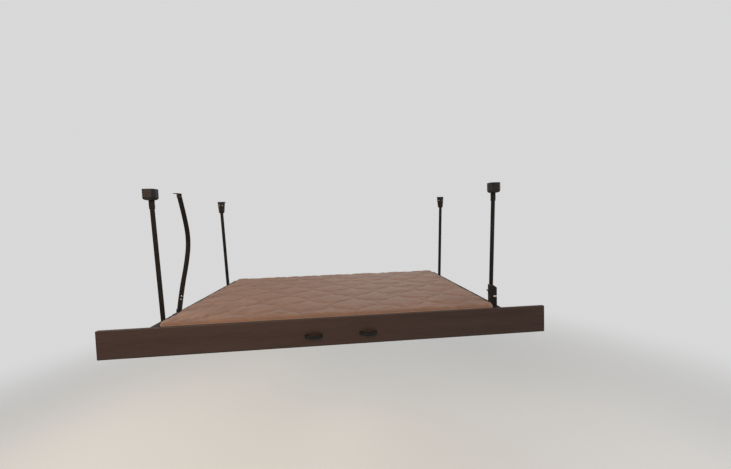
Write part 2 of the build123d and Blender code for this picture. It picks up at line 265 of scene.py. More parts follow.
floor.data.materials.append(floor_finish.material)

world = bpy.data.worlds.new("pale_background")
bpy.context.scene.world = world
world.use_nodes = True
sky = world.node_tree
sky.nodes.clear()
rays = sky.nodes.new("ShaderNodeLightPath")
seen_or_refracted = sky.nodes.new("ShaderNodeMath")
seen_or_refracted.operation = "MAXIMUM"
sky.links.new(rays.outputs["Is Camera Ray"], seen_or_refracted.inputs[0])
sky.links.new(rays.outputs["Is Transmission Ray"], seen_or_refracted.inputs[1])
strength = sky.nodes.new("ShaderNodeMapRange")
strength.inputs["To Min"].default_value = LIGHT_ON_PIECES
strength.inputs["To Max"].default_value = LIGHT_SEEN
sky.links.new(seen_or_refracted.outputs[0], strength.inputs["Value"])
background = sky.nodes.new("ShaderNodeBackground")
sky.links.new(strength.outputs[0], background.inputs["Strength"])
sky_output = sky.nodes.new("ShaderNodeOutputWorld")
sky.links.new(background.outputs[0], sky_output.inputs[0])
print("floor at", FLOOR_Z)


# %% Lamps
def soft_lamp(name, place, target, size, power, colour):
    """A square area lamp that points from its place to a target."""
    data = bpy.data.lights.new(name, "AREA")
    data.shape = "SQUARE"
    data.size = size
    data.energy = power
    data.color = colour
    lamp = bpy.data.objects.new(name, data)
    lamp.location = place
    backwards = lamp.location - Matrix.Translation(target).translation
    lamp.rotation_euler = backwards.to_track_quat("Z", "Y").to_euler()
    bpy.context.collection.objects.link(lamp)


soft_lamp("front_lamp", (-1.9, -3.3, 0.9), (-0.2, -0.4, -0.7), 2.0, 84, (1.0, 0.78, 0.57))
soft_lamp("side_lamp", (-3.2, 0.6, 0.5), (0, 0, -0.75), 1.6, 44, (1.0, 0.93, 0.84))
soft_lamp("right_lamp", (3.4, -1.0, 0.4), (0, 0, -0.7), 2.0, 50, (1.0, 0.98, 0.96))
soft_lamp("back_lamp", (0.8, 3.6, 1.2), (0, 0, -0.7), 2.4, 38, (0.95, 0.98, 1.0))
bpy.context.scene.view_settings.view_transform = "Standard"

# %% [markdown]
# Surfaces from arrays
#
# Every new piece is a grid of points that numpy works out at once, and a few helpers turn
# grids into closed meshes. A swept piece carries a flat outline along a path. A turned
# piece, such as a screw, spins a profile round an axis, and its radius may turn six-sided.


# %% Grids and meshes
def grid_faces(rows, columns, wrap=True, first=0):
    """Quads of a grid of points, row by row; wrap joins the last column to the first."""
    row = np.arange(rows - 1)[:, None]
    column = np.arange(columns if wrap else columns - 1)[None, :]
    after = (column + 1) % columns
    here, below = row * columns, (row + 1) * columns
    corners = (here + column, here + after, below + after, below + column)
    return first + np.stack(corners, -1).reshape(-1, 4)


def closed_tube(points):
    """Points (rows, columns, 3) as vertices and faces of a tube with both ends closed."""
    rows, columns = points.shape[:2]
    faces = grid_faces(rows, columns).tolist()
    faces.append(list(range(columns)))
    faces.append([(rows - 1) * columns + column for column in range(columns)][::-1])
    return points.reshape(-1, 3), faces


def unit(vectors):
    """Each vector of a list, at length 1."""
    return vectors / np.linalg.norm(vectors, axis=1, keepdims=True)


def uv_grid(u, v):
    """U and V of a grid's points, from two arrays that spread over its rows and columns."""
    return np.stack(np.broadcast_arrays(u, v), -1).reshape(-1, 2)


def joined(shells):
    """Several shells, each vertices and faces, as one."""
    points, faces, count = [], [], 0
    for shell_points, shell_faces in shells:
        points.append(shell_points)
        faces.extend([[corner + count for corner in face] for face in shell_faces])
        count += len(shell_points)
    return np.concatenate(points), faces


def new_piece(name, shell, finish, body, smooth=35, uv=None):
    """Makes an object of a shell, with its faces outwards, and lets it ride on a body."""
    points, faces = shell
    mesh = bpy.data.meshes.new(name)
    mesh.from_pydata(points.tolist(), [], faces)
    if uv is not None:
        layer = mesh.uv_layers.new(name="cloth")
        corner = np.empty(len(mesh.loops), int)
        mesh.loops.foreach_get("vertex_index", corner)
        layer.data.foreach_set("uv", uv[corner].ravel())
    work = bmesh.new()
    work.from_mesh(mesh)
    bmesh.ops.recalc_face_normals(work, faces=work.faces)
    work.to_mesh(mesh)
    work.free()
    mesh.shade_smooth()
    mesh.set_sharp_from_angle(angle=np.radians(smooth))
    mesh.materials.append(finishes[finish].material)
    piece = bpy.data.objects.new(name, mesh)
    bpy.context.collection.objects.link(piece)
    if body:
        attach(piece, body)
    return piece


AXES = {
    "+x": ((0, 1, 0), (0, 0, 1), (1, 0, 0)),
    "-x": ((0, 0, 1), (0, 1, 0), (-1, 0, 0)),
    "+y": ((0, 0, 1), (1, 0, 0), (0, 1, 0)),
    "-y": ((1, 0, 0), (0, 0, 1), (0, -1, 0)),
    "+z": ((1, 0, 0), (0, 1, 0), (0, 0, 1)),
    "-z": ((0, 1, 0), (1, 0, 0), (0, 0, -1)),
}


def turned(profile, places, along, corners=24):
    """Shells of turned pieces: ring k has radius r, height h and six-sidedness s.

    At angle t the radius is r times (1 - s + s cos 30 / cos(t folded into 30 degrees)).
    The grid is then laid on three axes, so that its height runs along the one named.
    """
    radius, height, six = (np.array(column)[:, None] for column in zip(*profile))
    angle = np.arange(corners)[None, :] * 2 * np.pi / corners
    folded = (angle + np.pi / 6) % (np.pi / 3) - np.pi / 6
    spread = radius * (1 - six + six * np.cos(np.pi / 6) / np.cos(folded))
    side, over, out = (np.array(axis, float) for axis in AXES[along])
    grid = spread[..., None] * (np.cos(angle)[..., None] * side + np.sin(angle)[..., None] * over)
    grid = grid + (height + 0 * angle)[..., None] * out
    return joined([closed_tube(grid + np.array(place)) for place in places])


def swept(path, sides, outline, closed=False):
    """Carries an outline along a path. Each outline point (a, b) lies at path + a side + b up,
    where up is the path's direction crossed with the side."""
    ahead = np.roll(path, -1, 0) - np.roll(path, 1, 0) if closed else np.gradient(path, axis=0)
    sides = np.broadcast_to(np.array(sides, float), path.shape)
    ups = unit(np.cross(unit(ahead), sides))
    outline = np.array(outline)
    grid = path[:, None] + sides[:, None] * outline[None, :, :1] + ups[:, None] * outline[None, :, 1:]
    if closed:
        points = np.concatenate([grid, grid[:1]])
        faces = grid_faces(len(points), len(outline)) % (len(path) * len(outline))
        return grid.reshape(-1, 3), faces.tolist()
    return closed_tube(grid)


def round_outline(width, height, corner, steps=3):
    """A rectangle with rounded corners, as points that go round it once."""
    turn = np.linspace(0, np.pi / 2, steps + 1)
    quarter = np.stack([np.cos(turn), np.sin(turn)], -1) * corner
    middle = np.array([width / 2 - corner, height / 2 - corner])
    points = []
    for number, (across, up) in enumerate([(1, 1), (-1, 1), (-1, -1), (1, -1)]):
        arc = quarter if number % 2 == 0 else quarter[::-1]
        points.append((middle + arc) * [across, up])
    return np.concatenate(points)


print("mesh helpers ready")

# %% [markdown]
# Fabric of the mattress
#
# The cover is a brown cloth with a soft nap. Up close it is a fine weave, and along each
# quilted seam runs a row of stitches in a groove. The seams are known as two phases that
# the mattress mesh carries on its points, so the stitches follow the real seam lines
# however the cloth bulges. The shade in each groove is painted into the colour as a
# darker band along the same seam lines.

# %% Mattress cloth
QUILT_REPEAT = 0.30
SEAM_SPAN = QUILT_REPEAT / 2**0.5
STITCH_STEP = 0.004
WEAVE_TURNS = 2 * np.pi / 0.0011

cloth = Finish("quilted_brown_cloth", "mattress", {"Sheen Weight": 0.10, "Sheen Roughness": 0.45})
cloth.shader.inputs["Sheen Tint"].default_value = (0.95, 0.80, 0.70, 1)
phase_a = cloth.add("ShaderNodeAttribute", {"attribute_name": "seam_a"}, output="Fac")
phase_b = cloth.add("ShaderNodeAttribute", {"attribute_name": "seam_b"}, output="Fac")
from_a = phase_a.to_whole() * SEAM_SPAN
from_b = phase_b.to_whole() * SEAM_SPAN
# Painted shade mask: 1 on a seam, fading to 0 about 6 mm away, for the shade in the groove.
seam_groove_shade = 1 - from_a.lesser(from_b).rise(0.0008, 0.006)


def stitch_row(distance, along):
    """Stitches 4 mm apart with gaps of about 1 mm, within 0.6 mm of the seam."""
    on_line = 1 - distance.rise(0.0004, 0.0008)
    dash = (along * (SEAM_SPAN / STITCH_STEP)).to_whole().rise(0.08, 0.16)
    return on_line * dash


stitches = stitch_row(from_a, phase_b).greater(stitch_row(from_b, phase_a))
weave_u, weave_v = cloth.own_map()
weave = (weave_u * WEAVE_TURNS).sine() * (weave_v * WEAVE_TURNS).sine() * 0.5 + 0.5
nap = cloth.noise(cloth.place(), 9, 4, 0.6)
fibre = cloth.noise(cloth.place(), 900, 2)
tone = cloth.blend(nap.rise(0.3, 0.7), (0.222, 0.122, 0.084), (0.270, 0.152, 0.106))
# Painted shade: the cloth is darkened next to each seam, where the groove lies in shade.
tone = cloth.blend(seam_groove_shade * 0.55, tone, (0.135, 0.069, 0.046))
tone = cloth.blend(weave * 0.16, tone, (0.33, 0.205, 0.150))
tone = cloth.blend(stitches * 0.8, tone, (0.32, 0.21, 0.16))
cloth_height = weave * 0.25 + fibre * 0.35 + stitches * 0.5
folds = cloth.noise(cloth.place((1, 1.7, 1)), 6.5, 1, 0.4)
where_creased = cloth.noise(cloth.place(start=(0.3, 0.1, 0)), 4, 1).rise(0.40, 0.62)
creases = (1 - abs(folds * 2 - 1)) ** 6 * where_creased
cloth.set(
    base_color=tone,
    roughness=0.62 + nap * 0.22,
    normal=cloth.bump(cloth_height, 0.0004, cloth.bump(creases, 0.0024)),
)
keep_finish("mattress", cloth)

tape = Finish("tape_edge", "mattress", {"Sheen Weight": 0.1})
rib = tape.own_map()[0].ripple(0.0016)
tape_nap = tape.noise(tape.place(), 60, 2)
tape.set(
    base_color=tape.blend(rib * 0.4 + tape_nap * 0.3, (0.33, 0.205, 0.145), (0.24, 0.145, 0.100)),
    roughness=0.6 + rib * 0.15,
    normal=tape.bump(rib, 0.0003),
)
keep_finish("tape", tape)

# %% [markdown]
# Dark laminate of the face board
#
# The board is a panel under a dark brown laminate with a fine printed grain that runs along
# it, and a darker band closes its lower edge and its two ends. One noise, stretched fifty
# times along the board, draws fibres a couple of millimetres high. A finer one makes pores,
# and a wide one makes the tone drift over a metre. The same heights feed a very low bump,
# so that lamps break up a little in the satin surface.

# %% Board laminate
board_low, board_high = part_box("face_board")
BOARD_BOTTOM, BOARD_TOP, BOARD_END = board_low[2], board_high[2], board_high[0]
board = Finish("dark_brown_laminate", "board", {"Specular IOR Level": 0.35})
fibres = board.noise(board.place((1, 50, 50)), 10, 4, 0.6)
pores = board.noise(board.place((1, 20, 20)), 110, 2).rise(0.56, 0.68)
drift = board.noise(board.place((1, 20, 20)), 1.2, 2)
wiped = board.noise(board.place((1, 1, 3)), 4, 3, 0.6)
board_x, _, board_z = board.parts_of(board.place())
lower_band = 1 - board_z.rise(BOARD_BOTTOM + 0.0043, BOARD_BOTTOM + 0.0049)
edge_band = lower_band.greater(abs(board_x).rise(BOARD_END - 0.0012, BOARD_END - 0.0006))
top_edge = board_z.rise(BOARD_TOP - 0.0008, BOARD_TOP - 0.0002)
lowest = 1 - board_z.rise(BOARD_BOTTOM + 0.0008, BOARD_BOTTOM + 0.0028)
nicks = board.noise(board.place(), 260, 2).rise(0.68, 0.74) * lowest
laminate = board.blend(fibres.rise(0.3, 0.7), (0.036, 0.0195, 0.0150), (0.061, 0.034, 0.0275))
laminate = board.blend(drift.rise(0.25, 0.75) * 0.45, laminate, (0.066, 0.040, 0.033))
laminate = board.blend(pores * 0.55, laminate, (0.018, 0.0105, 0.0085))
laminate = board.blend(edge_band * 0.9, laminate, (0.0135, 0.0100, 0.0088))
laminate = board.blend(nicks * 0.7, laminate, (0.115, 0.080, 0.058))
board.set(
    base_color=laminate,
    roughness=0.33 + wiped * 0.10 + pores * 0.12 + top_edge * 0.35,
    normal=board.bump(fibres * 0.5 - pores * 0.4 - edge_band * 0.8, 0.0001),
)
keep_finish("board", board)

# %% [markdown]
# Metal finishes
#
# Four kinds of metal meet on the bunk: dark powder coat on the rails and brackets, brushed
# aluminium on the tubes, bright steel or zinc on the shaft and the bolts, and grey casting on
# the gearbox. Powder coat flows into small soft hills before it sets, which makes it look
# like orange peel. Brushed metal has scratches that all run one way, so its noise is
# stretched about two hundred times along the tube. Cast metal is matt and pebbled.


# %% Powder coat
def powder_coat(name, slot, tint, along, rub):
    """Soft hills of about 2 mm, long pale scuffs along one axis, and patches rubbed paler."""
    coat = Finish(name, slot, {"Specular IOR Level": 0.22})
    hills = coat.noise(coat.place(), 520, 2, 0.4)
    scuffs = coat.noise(coat.place(along), 5, 5, 0.7).rise(0.66, 0.78)
    rubbed = coat.noise(coat.place(), 45, 5, 0.7)
    pale = tuple(0.8 * value + 0.022 for value in tint)
    tone = coat.blend(rubbed.rise(0.35, 0.75) * rub, tint, pale)
    tone = coat.blend(scuffs * 0.5, tone, tuple(value + 0.09 for value in tint))
    coat.set(
        base_color=tone,
        roughness=0.40 + rubbed * 0.16 - scuffs * 0.08,
        normal=coat.bump(hills * 0.8 - scuffs * 0.2, 0.00012),
    )
    return coat


for key, name, slot, tint, stretch, rub in (
    ("frame", "frame_powder_coat", "dark_frame", (0.0175, 0.0150, 0.0140), (60, 2, 60), 0.5),
    ("bracket", "bracket_coat", "dark_bracket", (0.0150, 0.0125, 0.0118), (30, 30, 4), 0.35),
    ("pull", "satin_black_pull", "pull", (0.0085, 0.0080, 0.0080), (5, 60, 60), 0.25),
):
    keep_finish(key, powder_coat(name, slot, tint, stretch, rub))


# %% Brushed and plated metal
def brushed(name, slot, tint, along, rough):
    """Scratches, drawn out along the tubes and even on the rest, over duller patches."""
    metal = Finish(name, slot, {"Metallic": 1.0})
    scratches = metal.noise(metal.place(along), 8, 4, 0.7)
    patches = metal.noise(metal.place(), 22, 3, 0.6)
    dull = tuple(value * 0.72 for value in tint)
    metal.set(
        base_color=metal.blend(patches.rise(0.3, 0.75) * 0.6, tint, dull),
        roughness=rough + scratches * 0.16 + patches * 0.08,
        normal=metal.bump(scratches, 0.00004),
    )
    return metal


keep_finish("tube", brushed("brushed_aluminium", "pale_tube", (0.66, 0.66, 0.65), (0.6, 130, 130), 0.24))
keep_finish("steel", brushed("turned_steel", "steel", (0.50, 0.49, 0.47), (60, 60, 60), 0.22))
keep_finish("zinc", brushed("zinc_plated_bolts", "steel", (0.58, 0.56, 0.52), (90, 90, 90), 0.20))

# %% Casting
casting = Finish("grey_casting", "gear_housing", {"Metallic": 0.85})
sand = casting.noise(casting.place(), 650, 3, 0.6)
flow = casting.noise(casting.place(), 30, 3)
casting.set(
    base_color=casting.blend(flow.rise(0.3, 0.7), (0.20, 0.20, 0.205), (0.29, 0.29, 0.29)),
    roughness=0.44 + sand * 0.14,
    normal=casting.bump(sand, 0.00025),
)
keep_finish("casting", casting)

# %% [markdown]
# Moulded and sheet finishes
#
# The covers, the switch box and the motor are moulded dark plastic, with the fine cell
# texture that spark erosion leaves in a mould. A Voronoi pattern with about 1500 cells to
# the metre looks like it. The rollers are nylon turned on a lathe: their grooves are rings,
# so the bump is a sine of the distance from the axle and another of the place along it, and
# a grey track marks where the belt runs. The belly panel is a pebbled sheet, and the deck is
# plywood whose edges show its layers.


# %% Moulded plastic
def moulded(name, slot, tint, grain, rough):
    """Small cells from the mould, with a slow change of gloss where hands and dust meet."""
    plastic = Finish(name, slot, {"Specular IOR Level": 0.22})
    touched = plastic.noise(plastic.place(), 18, 4, 0.6)
    dusty = tuple(value * 0.8 + 0.016 for value in tint)
    plastic.set(
        base_color=plastic.blend(touched.rise(0.4, 0.8) * 0.6, tint, dusty),
        roughness=rough + touched * 0.14,
        normal=plastic.bump(plastic.cells(grain), 0.00006),
    )
    return plastic


keep_finish("plastic", moulded("dark_moulded_plastic", "dark_plastic", (0.0165, 0.0135, 0.0125), 1500, 0.42))
keep_finish("clip", moulded("pale_clip_plastic", "pale_clip", (0.62, 0.60, 0.56), 1200, 0.38))
keep_finish("bush", moulded("slot_bush_nylon", "dark_plastic", (0.022, 0.020, 0.019), 900, 0.30))

# %% Turned nylon rollers
ROLLER_Y, ROLLER_Z = -0.4437, -0.857
BELT_X = 0.965
nylon = Finish("turned_nylon", "pale_roller")
nylon_x, nylon_y, nylon_z = nylon.parts_of(nylon.place(start=(0, ROLLER_Y, ROLLER_Z)))
from_axle = (nylon_y * nylon_y + nylon_z * nylon_z) ** 0.5
rings = from_axle.ripple(0.0009)
turns = nylon_x.ripple(0.0007)
track = (1 - abs(abs(nylon_x) - BELT_X).rise(0.0105, 0.0135)) * from_axle.rise(0.0180, 0.0195)
smear = nylon.noise(nylon.place(), 120, 3)
nylon_tone = nylon.blend(smear * 0.5, (0.66, 0.63, 0.55), (0.55, 0.52, 0.45))
nylon.set(
    base_color=nylon.blend(track * (0.35 + smear * 0.5), nylon_tone, (0.13, 0.12, 0.11)),
    roughness=0.40 + smear * 0.2 - track * 0.1,
    normal=nylon.bump(rings * 0.5 + turns * 0.5, 0.00005),
)
keep_finish("nylon", nylon)

# %% Plywood and belly panel
DECK_BOTTOM, DECK_THICK = -0.836, 0.012
PLY_LAYER, PLY_FACE = 0.0030, 0.0009
ply = Finish("plywood", "plywood")
ply_fibres = ply.noise(ply.place((1, 40, 40)), 7, 5, 0.65)
_, ply_y, ply_z = ply.parts_of(ply.place(start=(0, 0, DECK_BOTTOM)))
layer = (ply_z * (1 / PLY_LAYER)).to_whole().rise(0.22, 0.28)
below_face = 1 - ply_z.rise(DECK_THICK - PLY_FACE, DECK_THICK - PLY_FACE + 0.0003)
inside_board = ply_z.rise(PLY_FACE - 0.0003, PLY_FACE) * below_face
rings_of_tree = ((ply_y * 30 + ply_fibres * 5).sine() * 0.5 + 0.5) ** 2
face_tone = ply.blend(ply_fibres.rise(0.3, 0.7), (0.43, 0.30, 0.18), (0.55, 0.41, 0.26))
face_tone = ply.blend(rings_of_tree * 0.3, face_tone, (0.33, 0.21, 0.115))
ply.set(
    base_color=ply.blend(inside_board * layer * 0.8, face_tone, (0.21, 0.13, 0.075)),
    roughness=0.60 + ply_fibres * 0.2,
    normal=ply.bump(ply_fibres, 0.0002),
)
keep_finish("plywood", ply)

lining = Finish("pebbled_lining", "lining")
pebbles = lining.cells(330, "SMOOTH_F1")
scuffed = lining.noise(lining.place(), 6, 5, 0.65)
lining.set(
    base_color=lining.blend(scuffed.rise(0.35, 0.75), (0.56, 0.55, 0.52), (0.53, 0.518, 0.488)),
    roughness=0.50 + scuffed * 0.16,
    normal=lining.bump(1 - pebbles, 0.0004),
)
keep_finish("lining", lining)

# %% [markdown]
# Webbing and thread
#
# The belts are flat woven straps. Cords run along them and the weft steps over the cords in
# a zigzag, which gives such straps their fine herringbone. The pattern follows the strap
# round each bend, so it reads the strap's own UV map: U goes across its width and V along
# its length, both in metres. Fuzz and dust make it paler in patches.

# %% Woven strap
CORD_REPEAT, WEFT_REPEAT, ZIGZAG_REPEAT = 0.0017, 0.0013, 0.0085
webbing = Finish("woven_black_strap", "webbing", {"Specular IOR Level": 0.15})
strap_u, strap_v = webbing.own_map()
cords = strap_u.ripple(CORD_REPEAT)
zigzag = (strap_u * (1 / ZIGZAG_REPEAT)).to_whole() * 8.0
weft = strap_v.ripple(WEFT_REPEAT, zigzag)
fuzz = webbing.noise(webbing.place(), 420, 3, 0.7)
aged = webbing.noise(webbing.place(), 9, 4, 0.6)
strap_tone = webbing.blend(cords * weft * 0.7, (0.0080, 0.0068, 0.0065), (0.0210, 0.0175, 0.0165))
strap_tone = webbing.blend(aged.rise(0.45, 0.8) * 0.5, strap_tone, (0.030, 0.0245, 0.0225))
webbing.set(
    base_color=webbing.blend(fuzz.rise(0.55, 0.8) * 0.35, strap_tone, (0.040, 0.033, 0.030)),
    roughness=0.58 + fuzz * 0.2,
    normal=webbing.bump(cords * 0.5 + weft * 0.35 + fuzz * 0.25, 0.00025),
)
keep_finish("webbing", webbing)

thread = Finish("bonded_thread", "webbing", {"Specular IOR Level": 0.3})
twist = thread.noise(thread.place(), 1600, 1)
thread.set(
    base_color=thread.blend(twist, (0.022, 0.020, 0.019), (0.055, 0.049, 0.045)),
    roughness=0.45 + twist * 0.2,
)
keep_finish("thread", thread)

# %% [markdown]
# The quilted panel
#
# On the real bed the cover is sewn through to the foam along wavy lines that cross in
# diamonds, and between the seams the cloth swells and puckers. The flat panel is a grid of
# 8 mm whose points slide onto the seams where they lie close. The seams and the rim stay
# pinned, the cloth is made a little too large, and pressure from below lifts it.

# %% Flat pattern of the panel
mattress_low, mattress_high = (np.array(corner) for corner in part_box("mattress"))
middle = (mattress_low + mattress_high) / 2
half = (mattress_high - mattress_low)[:2] / 2
SPACING = 0.008
PLAN_CORNER = 0.030
EDGE_ROUND = 0.014
EDGE_ARC = EDGE_ROUND * np.pi / 2
SEAM_LEVEL = float(mattress_high[2]) - 0.003
QUILT_START = (-0.78, -0.55)
QUILT_WAVE = 0.055
SNAP_REACH = 0.4 * SPACING
NUDGE = 1e-4
pattern_half = half - EDGE_ROUND + EDGE_ARC
pattern_corner = PLAN_CORNER - EDGE_ROUND + EDGE_ARC


def seam_phases(x, y):
    """With s and t the place in repeats, a = s + t and b = s - t, each waved by the other:
    a + w sin(2 pi b) and b + w sin(2 pi a). A seam lies where one is a whole number."""
    s = (x - QUILT_START[0]) / QUILT_REPEAT
    t = (y - QUILT_START[1]) / QUILT_REPEAT
    a, b = s + t, s - t
    return a + QUILT_WAVE * np.sin(2 * np.pi * b), b + QUILT_WAVE * np.sin(2 * np.pi * a)


def rounded_corner(x, y):
    """Squares at the corners become quarter discs: with p and q the shares of the corner,
    p sqrt(1 - q q / 2) and q sqrt(1 - p p / 2)."""
    p = np.maximum(np.abs(x) - (pattern_half[0] - pattern_corner), 0) / pattern_corner
    q = np.maximum(np.abs(y) - (pattern_half[1] - pattern_corner), 0) / pattern_corner
    corner = (p > 0) & (q > 0)
    new_x = np.sign(x) * (pattern_half[0] - pattern_corner + pattern_corner * p * np.sqrt(1 - q * q / 2))
    new_y = np.sign(y) * (pattern_half[1] - pattern_corner + pattern_corner * q * np.sqrt(1 - p * p / 2))
    return np.where(corner, new_x, x), np.where(corner, new_y, y)


columns, rows = (int(round(2 * size / SPACING)) + 1 for size in pattern_half)
grid_x, grid_y = np.meshgrid(
    np.linspace(-pattern_half[0], pattern_half[0], columns),
    np.linspace(-pattern_half[1], pattern_half[1], rows),
)
flat_x, flat_y = rounded_corner(grid_x, grid_y)
rim = np.zeros(flat_x.shape, bool)
rim[[0, -1], :] = True
rim[:, [0, -1]] = True

on_seam = [None, None]
for round_number in range(6):
    for which in (0, 1):
        world_y = flat_y + middle[1]
        phase = seam_phases(flat_x, world_y)[which]
        slope_x = (seam_phases(flat_x + NUDGE, world_y)[which] - phase) / NUDGE
        slope_y = (seam_phases(flat_x, world_y + NUDGE)[which] - phase) / NUDGE
        steep = slope_x**2 + slope_y**2
        off = phase - np.round(phase)
        if round_number == 0:
            on_seam[which] = (np.abs(off) / np.sqrt(steep) < SNAP_REACH) & ~rim
        flat_x = np.where(on_seam[which], flat_x - off * slope_x / steep, flat_x)
        flat_y = np.where(on_seam[which], flat_y - off * slope_y / steep, flat_y)
pinned = on_seam[0] | on_seam[1] | rim
print("panel", columns, "by", rows, "points,", int(pinned.sum()), "pinned")


# %% Triangles along the seams
def panel_triangles():
    """Two triangles a cell; the diagonal joins two points of one seam where it can."""
    index = np.arange(rows * columns).reshape(rows, columns)
    cell = np.stack([index[:-1, :-1], index[:-1, 1:], index[1:, 1:], index[1:, :-1]], -1)
    sewn = [seam.ravel()[cell] for seam in on_seam]

    def same_seam(i, j):
        return (sewn[0][..., i] & sewn[0][..., j]) | (sewn[1][..., i] & sewn[1][..., j])

    even = (cell[..., 0] // columns + cell[..., 0] % columns) % 2 == 0
    across = (same_seam(1, 3) | even) & ~same_seam(0, 2)
    first = np.where(across[..., None], cell[..., [0, 1, 3]], cell[..., [0, 1, 2]])
    second = np.where(across[..., None], cell[..., [1, 2, 3]], cell[..., [0, 2, 3]])
    return np.concatenate([first.reshape(-1, 3), second.reshape(-1, 3)])


triangles = panel_triangles()
phase_grid = seam_phases(flat_x, flat_y + middle[1])
print("triangles", len(triangles))


# %% Swell the panel by cloth simulation
FRAMES = 20
START_ROUGHNESS = 0.001
CLOTH_SETTINGS = {
    "vertex_group_mass": "sewn",
    "quality": 6,
    "mass": 0.5,
    "air_damping": 5,
    "tension_stiffness": 40,
    "compression_stiffness": 40,
    "shear_stiffness": 20,
    "bending_stiffness": 40,
    "bending_damping": 5,
    "shrink_min": -0.03,
    "use_pressure": True,
    "uniform_pressure_force": 8,
}


def simulated_heights():
    """Heights of the panel's points once the cloth has swelled: 8 units of pressure on a
    cloth that is 3 percent too large, with the seams and the rim held."""
    seeded = np.random.default_rng(3)
    rough = START_ROUGHNESS * seeded.random(flat_x.shape)
    start = np.stack([flat_x, flat_y, np.where(pinned, 0, rough)], -1)
    mesh = bpy.data.meshes.new("panel_sim")
    mesh.from_pydata(start.reshape(-1, 3).tolist(), [], triangles.tolist())
    panel = bpy.data.objects.new("panel_sim", mesh)
    bpy.context.collection.objects.link(panel)
    sewn = panel.vertex_groups.new(name="sewn")
    sewn.add(np.flatnonzero(pinned.ravel()).tolist(), 1.0, "REPLACE")
    modifier = panel.modifiers.new("Cloth", "CLOTH")
    for key, value in CLOTH_SETTINGS.items():
        setattr(modifier.settings, key, value)
    modifier.settings.effector_weights.gravity = 0
    scene = bpy.context.scene
    scene.frame_start, scene.frame_end = 1, FRAMES
    modifier.point_cache.frame_start, modifier.point_cache.frame_end = 1, FRAMES
    for number in range(1, FRAMES + 1):
        scene.frame_set(number)
    swelled = panel.evaluated_get(bpy.context.evaluated_depsgraph_get()).to_mesh()
    points = np.empty(len(swelled.vertices) * 3)
    swelled.vertices.foreach_get("co", points)
    scene.frame_set(1)
    bpy.data.objects.remove(panel)
    bpy.data.meshes.remove(mesh)
    return points.reshape(rows, columns, 3)[..., 2]


def smoothed(heights, rounds):
    """Each free point becomes 0.35 of itself and 0.65 of the mean of its four neighbours."""
    for _ in range(rounds):
        mean = sum(np.roll(heights, step, axis) for step in (1, -1) for axis in (0, 1)) / 4
        heights = np.where(pinned, heights, 0.35 * heights + 0.65 * mean)
    return heights


PUFF_HEIGHT, PUFF_FULLNESS = 0.0090, 2.8
heights = smoothed(simulated_heights(), 2)
peak = float(np.percentile(heights, 99))
rounded_off = 1 - np.exp(-PUFF_FULLNESS * np.clip(heights, 0, None) / peak)
heights = PUFF_HEIGHT * rounded_off / (1 - np.exp(-PUFF_FULLNESS))
print("puffs up to", round(float(heights.max()) * 1000, 1), "mm")

# %% [markdown]
# The closed mattress
#
# The panel rolls over the edge of the foam to a taped edge, and a plain border goes down to
# a second tape at the bottom. The rolling is one function of the inset from the rim: inside
# the arc a point stays flat, and within it the point turns round the foam's edge. Rings
# below it make the border, which pulls in at both tapes, and one flat face is the bottom.


# %% Roll the panel over the edge
CROWN_HEIGHT, CROWN_REACH = 0.004, 0.25


def rolled(x, y, height):
    """A point at inset d from the rim turns by f = (arc - d) / r: outwards r sin f and down
    r (1 - cos f), with its height along the turned normal. The crown lifts the middle."""
    core = pattern_half - pattern_corner
    over_x, over_y = np.abs(x) - core[0], np.abs(y) - core[1]
    distance = np.hypot(over_x, over_y)
    in_corner = (over_x > 0) & (over_y > 0)
    inset = np.where(in_corner, pattern_corner - distance, pattern_corner - np.maximum(over_x, over_y))
    safe = np.maximum(distance, 1e-9)
    normal_x = np.where(in_corner, over_x / safe, np.where(over_x >= over_y, 1.0, 0.0)) * np.sign(x)
    normal_y = np.where(in_corner, over_y / safe, np.where(over_x >= over_y, 0.0, 1.0)) * np.sign(y)
    past = np.clip(EDGE_ARC - inset, 0, None)
    angle = past / EDGE_ROUND
    out = EDGE_ROUND * np.sin(angle) - past + height * np.sin(angle)
    inwards = np.clip(inset / CROWN_REACH, 0, 1)
    crown = CROWN_HEIGHT * inwards * (2 - inwards)
    down = -EDGE_ROUND * (1 - np.cos(angle)) + height * np.cos(angle) + crown
    return np.stack([x + normal_x * out, y + normal_y * out + middle[1], SEAM_LEVEL + down], -1)


top_points = rolled(flat_x, flat_y, heights)
index = np.arange(rows * columns).reshape(rows, columns)
rim_loop = np.concatenate([index[0, :-1], index[:-1, -1], index[-1, :0:-1], index[:0:-1, 0]])
rim_points = top_points.reshape(-1, 3)[rim_loop]
from_middle = rim_points[:, :2] - [0, middle[1]]
straight_half = half - PLAN_CORNER
rim_out = unit(from_middle - np.clip(from_middle, -straight_half, straight_half))
rim_steps = np.linalg.norm(np.roll(rim_points, -1, 0) - rim_points, axis=1)
rim_length = np.concatenate([[0], np.cumsum(rim_steps)])
along_rim = rim_length[:-1]
print("rim", len(rim_loop), "points,", round(float(rim_length[-1]), 2), "m round")

